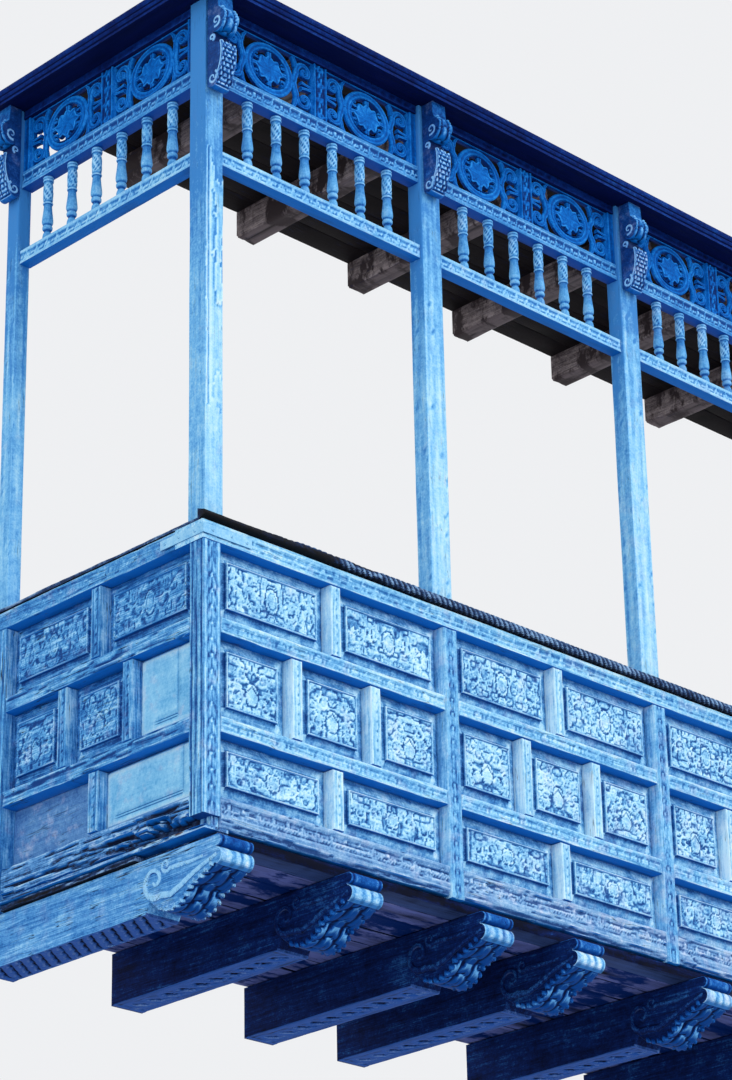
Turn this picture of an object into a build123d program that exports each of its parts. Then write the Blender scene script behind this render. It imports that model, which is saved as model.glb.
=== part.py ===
"""Colonial box balcony of painted timber, sizes in millimetres.

The balcony hangs on a wall: beams reach out of the wall and carry a floor, a parapet of fielded panels
and a row of posts with turned balusters, pierced panels and a cornice above.
The origin is on the wall plane, on the back of the left wall stile, at the level of the floor's top.
+X runs along the front, +Y into the wall and +Z up. In the functions below, u runs along a face of the
balcony from its front left corner, and v runs inwards from that face.
"""

import os
from math import atan, cos, degrees, pi, radians, sin

from build123d import *

# Plan
BAYS = 4
BAY_OPENING = 1033
DEPTH = 1131
STILE_W = 67
CORNER_STILE_W = 80
CORNER_STILE_D = 70
WALL_STILE_W = 111

# Floor, sills and beams
FLOOR_T = 40
SILL_W = 100
SILL_LIP = 8
SILL_SETBACK = 15
BEAM_W = 140
BEAM_H = 185
BEAM_INSET = 20
BEAM_SHIFTS = (0, -50, -50, -210, -145, -100, -50, 0)
HEAD_REACH = 64
UPPER_ROLL = 20
LOWER_ROLL = 30
ROLL_STEP = 8
THROAT = (74, 190)
THROAT_BOW = 18
LOBE = (140, 16)
LOBE_END = 225
QUIRK = (275, 40)
QUIRK_W = 18

# Parapet
FRAME_T = 70
RECESS = 50
PANEL_T = 18
FIELD_DEPTH = 22
FIELD_MARGIN = 44
PLAIN_DEPTH = 36
PLAIN_MARGIN = 14
MUNTIN_W = 48
BOTTOM_RAIL_H = 115
MID_RAIL_H = 62
ROW_HEIGHTS = (208, 281, 254)
ROW_PANEL_COUNTS = (2, 3, 2)
TOP_RAIL_H = 71
TOP_RAIL_D = 140
MOULDING_H = 42
MOULDING_W = 48
MOULDING_LIP = 18
CAP_H = 16
CAP_W = 30

# Posts and the screen over the opening
POST_SETBACK = 35
POST_W = 102
POST_D = 70
CORNER_POST_W = 85
WALL_POST_W = 60
WALL_POST_D = 65
OPENING_H = 1397
SCREEN_SETBACK = 45
SCREEN_RAIL_D = 50
LOWER_RAIL_H = 57
UPPER_RAIL_H = 70
TOP_SCREEN_RAIL_H = 35
BALUSTER_H = 261
BALUSTER_PITCH = 138
BALUSTERS = 6
BALUSTER_SIDES = 8
BALUSTER_FOOT = ((0, 18), (24, 17), (34, 12), (46, 19))
BALUSTER_BODY = ((75, 21), (143, 15), (152, 19), (234, 17), (261, 20))
FRET_H = 227
FRET_T = 20
FRET_STILE_W = 30
FRET_MUNTIN_W = 60
FRET_FRAME_D = 40
FRET_BORDER = 9
FRET_RING = (118, 26)
FRET_RING_ANGLES = (60, 26)
FRET_LEAF = (60, 40)
FRET_LEAF_ANGLES = (72, 16)
FRET_SCROLL = 156

# Cornice, consoles, joists and ceiling
CORNICE_H = 55
CORNICE_OUT = 55
CORNICE_SOFFIT_IN = 10
CORNICE_FASCIA = 14
CORNICE_STEP = 6
CORNICE_TOP_H = 12
CONSOLE_W = 70
CONSOLE_DROP = 50
CONSOLE_OUT = 92
JOIST_GAP = 5
JOIST_W = 90
JOIST_H = 120
JOIST_PITCH = 610
CEILING_T = 20

# Iron corner straps
STRAP_T = 4
STRAP_H = 34
STRAP_LEG = 210

# Rot at the left corner
FOOT_LOSS = (52, 38)
RAIL_LOSS = ((0, 0), (0, 62), (50, 54), (140, 27), (260, 0))
RAIL_LOSS_D = 45
PLANK_T = 18
PLANK_LOSS = 330

# Levels, from the floor's top
BEAM_TOP = -FLOOR_T
BEAM_BOTTOM = BEAM_TOP - BEAM_H
ROW_BOTTOMS = (
    BOTTOM_RAIL_H,
    BOTTOM_RAIL_H + ROW_HEIGHTS[0] + MID_RAIL_H,
    BOTTOM_RAIL_H + ROW_HEIGHTS[0] + ROW_HEIGHTS[1] + 2 * MID_RAIL_H,
)
TOP_RAIL_Z = ROW_BOTTOMS[2] + ROW_HEIGHTS[2]
POST_Z = TOP_RAIL_Z + TOP_RAIL_H
LOWER_RAIL_Z = POST_Z + OPENING_H
BALUSTER_Z = LOWER_RAIL_Z + LOWER_RAIL_H
UPPER_RAIL_Z = BALUSTER_Z + BALUSTER_H
FRET_Z = UPPER_RAIL_Z + UPPER_RAIL_H
TOP_SCREEN_RAIL_Z = FRET_Z + FRET_H
CORNICE_Z = TOP_SCREEN_RAIL_Z + TOP_SCREEN_RAIL_H
CORNICE_TOP = CORNICE_Z + CORNICE_H
CEILING_Z = CORNICE_TOP - CEILING_T
CONSOLE_H = CORNICE_Z - UPPER_RAIL_Z + CONSOLE_DROP

# Places along the front
FRONT_L = 2 * CORNER_STILE_W + BAYS * BAY_OPENING + (BAYS - 1) * STILE_W
BAY_PITCH = BAY_OPENING + STILE_W
SIDE_OPENING = DEPTH - CORNER_STILE_D - WALL_STILE_W
LEFT_X = -FRAME_T / 2
RIGHT_X = LEFT_X + FRONT_L
FRONT_Y = -DEPTH
WALL_STILE_U = DEPTH - WALL_STILE_W
BEAM_SPACING = (FRONT_L - 2 * BEAM_INSET - BEAM_W) / (len(BEAM_SHIFTS) - 1)
BEAM_LEFTS = [BEAM_INSET + number * BEAM_SPACING + shift for number, shift in enumerate(BEAM_SHIFTS)]
BAY_STARTS = [CORNER_STILE_W + bay * BAY_PITCH for bay in range(BAYS)]
STILE_CENTRES = [start - STILE_W / 2 for start in BAY_STARTS[1:]]

# Clear stretches between the posts, along the front and along a side
POST_EDGES = [POST_SETBACK + CORNER_POST_W]
for centre in STILE_CENTRES:
    POST_EDGES += [centre - POST_W / 2, centre + POST_W / 2]
POST_EDGES.append(FRONT_L - POST_SETBACK - CORNER_POST_W)
FRONT_BAYS = list(zip(POST_EDGES[0::2], POST_EDGES[1::2]))
SIDE_BAY = (POST_SETBACK + CORNER_POST_W, DEPTH - WALL_POST_D)
SCREEN_BAYS = [("front", bay) for bay in FRONT_BAYS] + [("left", SIDE_BAY), ("right", SIDE_BAY)]
SCREEN_V = SCREEN_SETBACK + SCREEN_RAIL_D / 2
INNER_V = SCREEN_SETBACK + SCREEN_RAIL_D + JOIST_GAP
JOISTS = int((FRONT_L - INNER_V - JOIST_W / 2) // JOIST_PITCH)
CORNER_CONSOLE_U = POST_SETBACK + CORNER_POST_W / 2
ALONG = {"front": (1, 0, 0), "left": (0, 1, 0), "right": (0, 1, 0)}
LEFT_MITRE = Plane(origin=(LEFT_X, FRONT_Y, 0), x_dir=(1, 1, 0), z_dir=(-1, 1, 0))
RIGHT_MITRE = Plane(origin=(RIGHT_X, FRONT_Y, 0), x_dir=(-1, 1, 0), z_dir=(1, 1, 0))

os.makedirs("parts", exist_ok=True)


def write(builder, name):
    """Label a finished piece and write it."""
    builder.part.label = name
    export_step(builder.part, f"parts/{name}.step")


def face_plane(side, u, v, z):
    """A plane parallel to one face of the balcony, looking outwards, with its origin at (u, v, z)."""
    if side == "front":
        return Plane(origin=(LEFT_X + u, FRONT_Y + v, z), x_dir=(1, 0, 0), z_dir=(0, -1, 0))
    if side == "left":
        return Plane(origin=(LEFT_X + v, FRONT_Y + u, z), x_dir=(0, -1, 0), z_dir=(-1, 0, 0))
    return Plane(origin=(RIGHT_X - v, FRONT_Y + u, z), x_dir=(0, 1, 0), z_dir=(1, 0, 0))


def cross_plane(side, u):
    """A plane across one face at u: its x runs outwards from the face and its y runs up."""
    if side == "front":
        return Plane(origin=(LEFT_X + u, FRONT_Y, 0), x_dir=(0, -1, 0), z_dir=(-1, 0, 0))
    if side == "left":
        return Plane(origin=(LEFT_X, FRONT_Y + u, 0), x_dir=(-1, 0, 0), z_dir=(0, 1, 0))
    return Plane(origin=(RIGHT_X, FRONT_Y + u, 0), x_dir=(1, 0, 0), z_dir=(0, -1, 0))


def blocks(side, stretches, vs, zs, mode=Mode.ADD):
    """Rectangular timbers on one face, as long as each stretch of u, which are all equal."""
    places = [face_plane(side, sum(us) / 2, sum(vs) / 2, sum(zs) / 2) for us in stretches]
    with Locations(*places):
        Box(stretches[0][1] - stretches[0][0], zs[1] - zs[0], vs[1] - vs[0], mode=mode)


def block(side, us, vs, zs, mode=Mode.ADD):
    """One rectangular timber on one face."""
    blocks(side, [us], vs, zs, mode)


def around(centre, width):
    """The stretch of a given width with its middle at centre."""
    return (centre - width / 2, centre + width / 2)


def row_openings(start, opening, count):
    """Split one opening into equal panels with muntins between them: a list of stretches."""
    width = (opening - (count - 1) * MUNTIN_W) / count
    lefts = [start + i * (width + MUNTIN_W) for i in range(count)]
    return [(left, left + width) for left in lefts]


def fielded_panel(width, height, depth=FIELD_DEPTH, margin=FIELD_MARGIN):
    """A parapet panel: a board whose sloping margins rise to a flat field."""
    rise = RECESS - depth
    with BuildPart() as panel:
        with BuildSketch():
            Rectangle(width, height)
        extrude(amount=-PANEL_T)
        with BuildSketch():
            Rectangle(width, height)
        extrude(amount=rise, taper=degrees(atan(margin / rise)))
    return panel.part


def plain_panel(width, height):
    """A smooth panel let in as a repair, nearly flush with the frame."""
    return fielded_panel(width, height, PLAIN_DEPTH, PLAIN_MARGIN)


def bare_board(width, height):
    """The board that is left where a panel has gone."""
    with BuildPart() as board:
        with Locations((0, 0, -PANEL_T)):
            Box(width, height, PANEL_T, align=(Align.CENTER, Align.CENTER, Align.MIN))
    return board.part


def panel_places(side, starts, opening, kinds):
    """The panels of one or more bays: a list of (panel, planes), one for each shape."""
    found = []
    for bottom, height, makers in zip(ROW_BOTTOMS, ROW_HEIGHTS, kinds):
        for maker in dict.fromkeys(makers):
            planes = []
            for start in starts:
                for us, kind in zip(row_openings(start, opening, len(makers)), makers):
                    if kind is maker:
                        planes.append(face_plane(side, sum(us) / 2, RECESS, bottom + height / 2))
            found.append((maker(us[1] - us[0], height), planes))
    return found


def parapet_muntins(side, starts, opening):
    """The short uprights between the panels."""
    for bottom, height, count in zip(ROW_BOTTOMS, ROW_HEIGHTS, ROW_PANEL_COUNTS):
        stretches = []
        for start in starts:
            for us in row_openings(start, opening, count)[:-1]:
                stretches.append((us[1], us[1] + MUNTIN_W))
        blocks(side, stretches, (0, FRAME_T), (bottom, bottom + height))


def parapet_mid_rails(side, starts, opening):
    """The two rails between the three rows."""
    for bottom in ROW_BOTTOMS[1:]:
        stretches = [(start, start + opening) for start in starts]
        blocks(side, stretches, (0, FRAME_T), (bottom - MID_RAIL_H, bottom))


def parapet_bottom_rails(side, starts, opening):
    """The rails under the lowest row."""
    blocks(side, [(start, start + opening) for start in starts], (0, FRAME_T), (0, BOTTOM_RAIL_H))


def fret_openings(us):
    """The two stretches of one bay that hold pierced panels."""
    inner = around(sum(us) / 2, FRET_MUNTIN_W)
    return [(us[0] + FRET_STILE_W, inner[0]), (inner[1], us[1] - FRET_STILE_W)]


def oval_points(radii, start, end, steps):
    """Points along an oval from one angle to another, in degrees from its right-hand end."""
    angles = [radians(start + (end - start) * i / steps) for i in range(steps + 1)]
    return [(radii[0] * cos(a), radii[1] * sin(a)) for a in angles]


def pierced_panel(width):
    """A fretwork panel: an oval ring around a leaf, between two scrolls that curl towards the ends."""
    half_w, half_h = width / 2 - FRET_BORDER, FRET_H / 2 - FRET_BORDER
    ring_w, ring_bar = FRET_RING
    ring_inside = (ring_w - ring_bar, half_h - ring_bar)
    eye = half_w - FRET_SCROLL
    leaf_top, leaf_side = FRET_LEAF_ANGLES
    beside_leaf = oval_points(FRET_LEAF, leaf_top, leaf_side, 3)
    beside_leaf += oval_points(ring_inside, leaf_side, leaf_top, 3)
    over_ring = oval_points((ring_w + 2, half_h + 2), *FRET_RING_ANGLES, 3)
    over_ring += [(ring_w + 16, half_h * 0.5), (ring_w + 8, half_h * 0.8), (ring_w + 22, half_h)]
    over_ring += [(over_ring[0][0] + 4, half_h)]
    in_scroll = [(half_w, 7), (FRET_SCROLL + 8, 7), (FRET_SCROLL, half_h * 0.3)]
    in_scroll += [(FRET_SCROLL + 4, half_h * 0.62), (FRET_SCROLL + eye * 0.45, half_h * 0.42)]
    in_scroll += [(half_w, half_h * 0.46)]
    with BuildPart() as panel:
        with BuildSketch():
            Rectangle(width, FRET_H)
            for right in (1, -1):
                for up in (1, -1):
                    for hole in (beside_leaf, over_ring, in_scroll):
                        turned = [(right * x, up * y) for x, y in hole]
                        Polygon(*turned, align=None, mode=Mode.SUBTRACT)
        extrude(amount=FRET_T / 2, both=True)
    return panel.part


def console_bracket():
    """A scrolled bracket, modelled with its back on x = 0 and its foot on y = 0, lying on its side."""
    out, top = CONSOLE_OUT, CONSOLE_H
    with BuildPart() as bracket:
        with BuildSketch():
            with BuildLine():
                volute = ThreePointArc((0, 0.05 * top), (0.28 * out, 0), (0.52 * out, 0.08 * top))
                belly = ThreePointArc(volute @ 1, (0.84 * out, 0.27 * top), (0.8 * out, 0.46 * top))
                shoulder = Line(belly @ 1, (0.44 * out, 0.5 * top))
                neck = Line(shoulder @ 1, (0.44 * out, 0.56 * top))
                leaf = ThreePointArc(neck @ 1, (out, 0.69 * top), (0.66 * out, 0.83 * top))
                tip = Line(leaf @ 1, (0.6 * out, top))
                Polyline(tip @ 1, (0, top), (0, 0.05 * top))
            make_face()
        extrude(amount=CONSOLE_W / 2, both=True)
    return bracket.part


def console_place(side, u):
    """Where a console stands: on the outer face of a post, centred on u, under the cornice."""
    plane = cross_plane(side, u)
    return plane.offset(0).shift_origin(plane.from_local_coords((-POST_SETBACK, CORNICE_Z - CONSOLE_H, 0)))


def cornice_run(side, start, length):
    """A straight length of the cornice, with its mouldings facing outwards."""
    low = CORNICE_OUT - CORNICE_SOFFIT_IN
    fascia_top = CORNICE_Z + CORNICE_FASCIA
    outline = [(-INNER_V, CORNICE_Z), (low, CORNICE_Z), (low, fascia_top)]
    outline += [(low + CORNICE_STEP / 2, fascia_top + CORNICE_STEP)]
    outline += [(CORNICE_OUT, CORNICE_TOP - CORNICE_TOP_H), (CORNICE_OUT, CORNICE_TOP)]
    outline += [(-INNER_V, CORNICE_TOP)]
    with BuildSketch(cross_plane(side, start)) as profile:
        Polygon(*outline, align=None)
    extrude(profile.sketch, amount=length, dir=ALONG[side])


# Beams that reach out of the wall, with a scrolled head
with BuildPart() as beams:
    with BuildSketch(cross_plane("front", BEAM_LEFTS[0])):
        with BuildLine():
            roll_x = HEAD_REACH - UPPER_ROLL
            top = Line((-DEPTH, BEAM_TOP), (roll_x, BEAM_TOP))
            upper = CenterArc((roll_x, BEAM_TOP - UPPER_ROLL), UPPER_ROLL, 90, -180)
            lower_top = BEAM_TOP - 2 * UPPER_ROLL
            neck = Line(upper @ 1, (roll_x - ROLL_STEP, lower_top))
            lower = CenterArc((roll_x - ROLL_STEP, lower_top - LOWER_ROLL), LOWER_ROLL, 90, -180)
            bow = (-THROAT[0] / 3, -THROAT[1] + THROAT_BOW)
            throat = ThreePointArc(lower @ 1, bow, (-THROAT[0], -THROAT[1]))
            lobe = ThreePointArc(throat @ 1, (-LOBE[0], BEAM_BOTTOM - LOBE[1]), (-LOBE_END, BEAM_BOTTOM))
            quirk = Line(lobe @ 1, (-QUIRK[0], BEAM_BOTTOM + QUIRK[1]))
            foot = Line(quirk @ 1, (-QUIRK[0] - QUIRK_W, BEAM_BOTTOM))
            under = Line(foot @ 1, (-DEPTH, BEAM_BOTTOM))
            Line(under @ 1, top @ 0)
        make_face()
    extrude(amount=BEAM_W, dir=ALONG["front"])
first_beam = beams.part
with BuildPart() as beams:
    with Locations(*[(left - BEAM_LEFTS[0], 0, 0) for left in BEAM_LEFTS]):
        add(first_beam)
write(beams, "beams")

# Floor, and the sills around it
with BuildPart() as floor:
    block("front", (SILL_W, FRONT_L - SILL_W), (SILL_W, DEPTH), (BEAM_TOP, 0))
write(floor, "floor")

with BuildPart() as front_sill:
    block("front", (SILL_W, FRONT_L - SILL_W), (SILL_SETBACK, SILL_W), (BEAM_TOP, 0))
write(front_sill, "front_sill")

# Each side sill is two planks that run past the front; on the left the lower one has rotted away there
for side, loss in (("left", PLANK_LOSS), ("right", -SILL_LIP)):
    with BuildPart() as side_sill:
        block(side, (-SILL_LIP, WALL_STILE_U), (-SILL_LIP, SILL_W), (-PLANK_T, 0))
        block(side, (-SILL_LIP, WALL_STILE_U), (SILL_W / 2, SILL_W), (BEAM_TOP, -PLANK_T))
        block(side, (loss, WALL_STILE_U), (0, SILL_W / 2), (BEAM_TOP, -PLANK_T))
        block(side, (WALL_STILE_U, DEPTH), (FRAME_T, SILL_W), (BEAM_TOP, 0))
    write(side_sill, f"{side}_sill")

# Uprights of the parapet; the left corner one has lost the outer part of its foot
with BuildPart() as corner_stiles:
    lefts = (0, FRONT_L - CORNER_STILE_W)
    blocks("front", [(left, left + CORNER_STILE_W) for left in lefts], (0, CORNER_STILE_D), (0, TOP_RAIL_Z))
    block("front", (0, FOOT_LOSS[0]), (0, FOOT_LOSS[0]), (0, FOOT_LOSS[1]), Mode.SUBTRACT)
write(corner_stiles, "corner_stiles")

with BuildPart() as front_stiles:
    blocks("front", [around(u, STILE_W) for u in STILE_CENTRES], (0, FRAME_T), (0, TOP_RAIL_Z))
write(front_stiles, "front_stiles")

with BuildPart() as wall_stiles:
    for side in ("left", "right"):
        block(side, (WALL_STILE_U, DEPTH), (0, FRAME_T), (BEAM_TOP, TOP_RAIL_Z))
write(wall_stiles, "wall_stiles")

# Rails, muntins and panels of the parapet
with BuildPart() as front_bottom_rails:
    parapet_bottom_rails("front", BAY_STARTS, BAY_OPENING)
write(front_bottom_rails, "front_bottom_rails")

with BuildPart() as front_mid_rails:
    parapet_mid_rails("front", BAY_STARTS, BAY_OPENING)
write(front_mid_rails, "front_mid_rails")

with BuildPart() as front_muntins:
    parapet_muntins("front", BAY_STARTS, BAY_OPENING)
write(front_muntins, "front_muntins")

carved_rows = [[fielded_panel] * count for count in ROW_PANEL_COUNTS]
for bay, start in enumerate(BAY_STARTS, 1):
    panel_sets = panel_places("front", [start], BAY_OPENING, carved_rows)
    with BuildPart() as front_panels:
        for panel, planes in panel_sets:
            with Locations(*planes):
                add(panel)
    write(front_panels, f"front_panels_{bay}")

# On the left side two panels are plain repairs and one has gone
mended_rows = [[plain_panel, bare_board], [plain_panel, fielded_panel, fielded_panel], [fielded_panel] * 2]
for side, rows in (("left", mended_rows), ("right", carved_rows)):
    panel_sets = panel_places(side, [CORNER_STILE_D], SIDE_OPENING, rows)
    with BuildPart() as side_panels:
        for panel, planes in panel_sets:
            with Locations(*planes):
                add(panel)
    write(side_panels, f"{side}_panels")
    with BuildPart() as side_muntins:
        parapet_muntins(side, [CORNER_STILE_D], SIDE_OPENING)
    write(side_muntins, f"{side}_muntins")

with BuildPart() as left_rails:
    parapet_bottom_rails("left", [CORNER_STILE_D], SIDE_OPENING)
    parapet_mid_rails("left", [CORNER_STILE_D], SIDE_OPENING)
    with BuildSketch(face_plane("left", CORNER_STILE_D, 0, 0)):
        Polygon(*[(-along, up) for along, up in RAIL_LOSS], align=None)
    extrude(amount=-RAIL_LOSS_D, mode=Mode.SUBTRACT)
write(left_rails, "left_rails")

with BuildPart() as right_rails:
    parapet_bottom_rails("right", [CORNER_STILE_D], SIDE_OPENING)
    parapet_mid_rails("right", [CORNER_STILE_D], SIDE_OPENING)
write(right_rails, "right_rails")

# Top rails, the moulding on the front one and the planks on the others
with BuildPart() as front_top_rail:
    block("front", (0, FRONT_L), (0, TOP_RAIL_D), (TOP_RAIL_Z, POST_Z))
write(front_top_rail, "front_top_rail")

with BuildPart() as front_moulding:
    inner = MOULDING_LIP - MOULDING_W
    with BuildSketch(cross_plane("front", 0)):
        with BuildLine():
            seat = Line((inner, POST_Z), (MOULDING_LIP / 2, POST_Z))
            belly = (MOULDING_LIP, POST_Z + MOULDING_H * 0.45)
            nose = ThreePointArc(seat @ 1, belly, (MOULDING_LIP / 4, POST_Z + MOULDING_H))
            top = Line(nose @ 1, (inner, POST_Z + MOULDING_H))
            Line(top @ 1, seat @ 0)
        make_face()
    extrude(amount=FRONT_L, dir=ALONG["front"])
write(front_moulding, "front_moulding")

for side in ("left", "right"):
    with BuildPart() as side_top_rail:
        block(side, (TOP_RAIL_D, DEPTH), (0, TOP_RAIL_D), (TOP_RAIL_Z, POST_Z))
    write(side_top_rail, f"{side}_top_rail")
    with BuildPart() as side_cap:
        block(side, (MOULDING_W - MOULDING_LIP, DEPTH), (0, CAP_W), (POST_Z, POST_Z + CAP_H))
    write(side_cap, f"{side}_cap_plank")

# Iron straps around the corners of the top rail
with BuildPart() as corner_straps:
    heights = around((TOP_RAIL_Z + POST_Z) / 2, STRAP_H)
    front_legs = {"left": (-STRAP_T, STRAP_LEG), "right": (FRONT_L - STRAP_LEG, FRONT_L + STRAP_T)}
    for side, leg in front_legs.items():
        block("front", leg, (-STRAP_T, 0), heights)
        block(side, (0, STRAP_LEG), (-STRAP_T, 0), heights)
write(corner_straps, "corner_straps")

# Posts
with BuildPart() as corner_posts:
    lefts = (POST_SETBACK, FRONT_L - POST_SETBACK - CORNER_POST_W)
    depths = (POST_SETBACK, POST_SETBACK + CORNER_POST_W)
    blocks("front", [(left, left + CORNER_POST_W) for left in lefts], depths, (POST_Z, CORNICE_Z))
write(corner_posts, "corner_posts")

with BuildPart() as front_posts:
    depths = (POST_SETBACK, POST_SETBACK + POST_D)
    blocks("front", [around(u, POST_W) for u in STILE_CENTRES], depths, (POST_Z, CORNICE_Z))
write(front_posts, "front_posts")

with BuildPart() as wall_posts:
    for side in ("left", "right"):
        depths = (POST_SETBACK, POST_SETBACK + WALL_POST_W)
        block(side, (DEPTH - WALL_POST_D, DEPTH), depths, (POST_Z, CORNICE_Z))
write(wall_posts, "wall_posts")

# Rails of the screen between the posts
for name, bottom, height in (
    ("lower_screen_rails", LOWER_RAIL_Z, LOWER_RAIL_H),
    ("upper_screen_rails", UPPER_RAIL_Z, UPPER_RAIL_H),
    ("top_screen_rails", TOP_SCREEN_RAIL_Z, TOP_SCREEN_RAIL_H),
):
    with BuildPart() as screen_rails:
        for side, us in SCREEN_BAYS:
            block(side, us, around(SCREEN_V, SCREEN_RAIL_D), (bottom, bottom + height))
    write(screen_rails, name)

# Turned balusters
profile = BALUSTER_FOOT + BALUSTER_BODY
with BuildPart() as baluster:
    for (low, low_r), (high, high_r) in zip(profile, profile[1:]):
        widest, way = (high, -1) if high_r > low_r else (low, 1)
        flare = abs(high_r - low_r) * cos(pi / BALUSTER_SIDES)
        with BuildSketch(Plane(origin=(0, 0, BALUSTER_Z + widest), x_dir=(1, 0, 0), z_dir=(0, 0, way))):
            RegularPolygon(max(low_r, high_r), BALUSTER_SIDES)
        extrude(amount=high - low, taper=degrees(atan(flare / (high - low))))

for side in ("front", "left", "right"):
    axes = []
    for us in [us for bay_side, us in SCREEN_BAYS if bay_side == side]:
        first = (sum(us) - (BALUSTERS - 1) * BALUSTER_PITCH) / 2
        axes += [face_plane(side, first + i * BALUSTER_PITCH, SCREEN_V, 0).origin for i in range(BALUSTERS)]
    with BuildPart() as balusters:
        with Locations(*axes):
            add(baluster.part)
    write(balusters, f"{side}_balusters")

# Pierced panels and the uprights beside them
for side in ("front", "left", "right"):
    panel_sets = []
    for us in [us for bay_side, us in SCREEN_BAYS if bay_side == side]:
        holes = fret_openings(us)
        planes = [face_plane(side, sum(hole) / 2, SCREEN_V, FRET_Z + FRET_H / 2) for hole in holes]
        panel_sets.append((pierced_panel(holes[0][1] - holes[0][0]), planes))
    with BuildPart() as fretwork:
        for panel, planes in panel_sets:
            with Locations(*planes):
                add(panel)
    write(fretwork, f"{side}_fretwork")

with BuildPart() as fretwork_uprights:
    for side, us in SCREEN_BAYS:
        left_panel, right_panel = fret_openings(us)
        beside = [(us[0], left_panel[0]), (right_panel[1], us[1])]
        blocks(side, beside, around(SCREEN_V, FRET_FRAME_D), (FRET_Z, TOP_SCREEN_RAIL_Z))
        middle = (left_panel[1], right_panel[0])
        block(side, middle, around(SCREEN_V, FRET_FRAME_D), (FRET_Z, TOP_SCREEN_RAIL_Z))
write(fretwork_uprights, "fretwork_uprights")

# Consoles on the posts
bracket = console_bracket()
console_us = [CORNER_CONSOLE_U] + STILE_CENTRES + [FRONT_L - CORNER_CONSOLE_U]
places = [console_place("front", u) for u in console_us]
places += [console_place(side, DEPTH - CONSOLE_W / 2) for side in ("left", "right")]
with BuildPart() as consoles:
    with Locations(*places):
        add(bracket)
write(consoles, "consoles")

# Cornice, mitred at the corners
with BuildPart() as front_cornice:
    cornice_run("front", -CORNICE_OUT, FRONT_L + 2 * CORNICE_OUT)
    split(bisect_by=LEFT_MITRE, keep=Keep.BOTTOM)
    split(bisect_by=RIGHT_MITRE, keep=Keep.BOTTOM)
write(front_cornice, "front_cornice")

for side, mitre in (("left", LEFT_MITRE), ("right", RIGHT_MITRE)):
    with BuildPart() as side_cornice:
        cornice_run(side, -CORNICE_OUT, DEPTH + CORNICE_OUT)
        split(bisect_by=mitre, keep=Keep.TOP)
    write(side_cornice, f"{side}_cornice")

# Joists and ceiling
with BuildPart() as joists:
    stretches = [around((number + 1) * JOIST_PITCH, JOIST_W) for number in range(JOISTS)]
    blocks("front", stretches, (POST_SETBACK + POST_D, DEPTH), (CEILING_Z - JOIST_H, CEILING_Z))
write(joists, "joists")

with BuildPart() as ceiling:
    block("front", (INNER_V, FRONT_L - INNER_V), (INNER_V, DEPTH), (CEILING_Z, CORNICE_TOP))
write(ceiling, "ceiling")
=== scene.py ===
"""Carved and painted look of a colonial box balcony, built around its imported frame.

Sizes are millimetres, in the frame of the solids. On each face of the balcony u runs along it, from the left
corner of the front or from the front of a side, v runs inwards, and z is the height over the floor.
"""

import math

import bpy
import numpy as np
from mathutils import Matrix, Vector


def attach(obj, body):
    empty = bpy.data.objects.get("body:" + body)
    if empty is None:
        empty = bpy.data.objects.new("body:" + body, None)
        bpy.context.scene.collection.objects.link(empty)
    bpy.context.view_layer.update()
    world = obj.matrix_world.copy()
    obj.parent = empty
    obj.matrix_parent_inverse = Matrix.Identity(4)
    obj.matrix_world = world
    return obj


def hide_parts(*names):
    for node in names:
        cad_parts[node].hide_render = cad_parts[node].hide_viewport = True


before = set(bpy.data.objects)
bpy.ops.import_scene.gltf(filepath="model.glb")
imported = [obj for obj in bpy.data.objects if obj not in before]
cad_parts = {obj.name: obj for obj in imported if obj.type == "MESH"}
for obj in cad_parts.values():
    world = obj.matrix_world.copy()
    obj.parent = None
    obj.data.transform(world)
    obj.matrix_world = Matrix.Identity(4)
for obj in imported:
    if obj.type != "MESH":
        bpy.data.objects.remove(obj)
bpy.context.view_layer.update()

MM = 0.001
X_AXIS, Y_AXIS, Z_AXIS = np.eye(3)
LEFT_X, FRONT_Y = -35.0, -1131.0
FRONT_L, DEPTH = 4493.0, 1131.0
RIGHT_X = LEFT_X + FRONT_L
SIDES = ("left", "right")

# Parapet
BAY_OPENING, BAYS = 1033.0, 4
STILE_W, WALL_STILE_W = 67.0, 111.0
CORNER_W, CORNER_D = 80.0, 70.0
FRAME_T, TOP_RAIL_D = 70.0, 140.0
RECESS, PANEL_BACK, MARGIN = 50.0, 68.0, 44.0
MUNTIN_W, MID_RAIL_H = 48.0, 62.0
ROW_BOTTOMS = (115.0, 385.0, 728.0)
ROWS = list(zip(ROW_BOTTOMS, (208.0, 281.0, 254.0), (2, 3, 2)))
TOP_RAIL_Z, POST_Z = 982.0, 1053.0
BAY_STARTS = [CORNER_W + bay * (BAY_OPENING + STILE_W) for bay in range(BAYS)]
STILE_US = [start - STILE_W / 2 for start in BAY_STARTS[1:]]
SIDE_OPENING = DEPTH - CORNER_D - WALL_STILE_W

# Posts and screen
SETBACK = 35.0
POST_W, POST_D, CORNER_POST = 102.0, 70.0, 85.0
WALL_POST_W, WALL_POST_D = 60.0, 65.0
SCREEN_FRONT, SCREEN_V = 45.0, 70.0
LOWER_Z, BALUSTER_Z, UPPER_Z, FRET_Z, TOP_Z, CORNICE_Z = 2450.0, 2507.0, 2768.0, 2838.0, 3065.0, 3100.0
CORNICE_H = 55.0
BALUSTER_PITCH, BALUSTERS = 138.0, 6
EDGES = (120.0, 1095.5, 1197.5, 2195.5, 2297.5, 3295.5, 3397.5, 4373.0)
SIDE_BAY = (120.0, 1066.0)
SCREEN_BAYS = [("front", bay) for bay in zip(EDGES[0::2], EDGES[1::2])] + [(side, SIDE_BAY) for side in SIDES]

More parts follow.
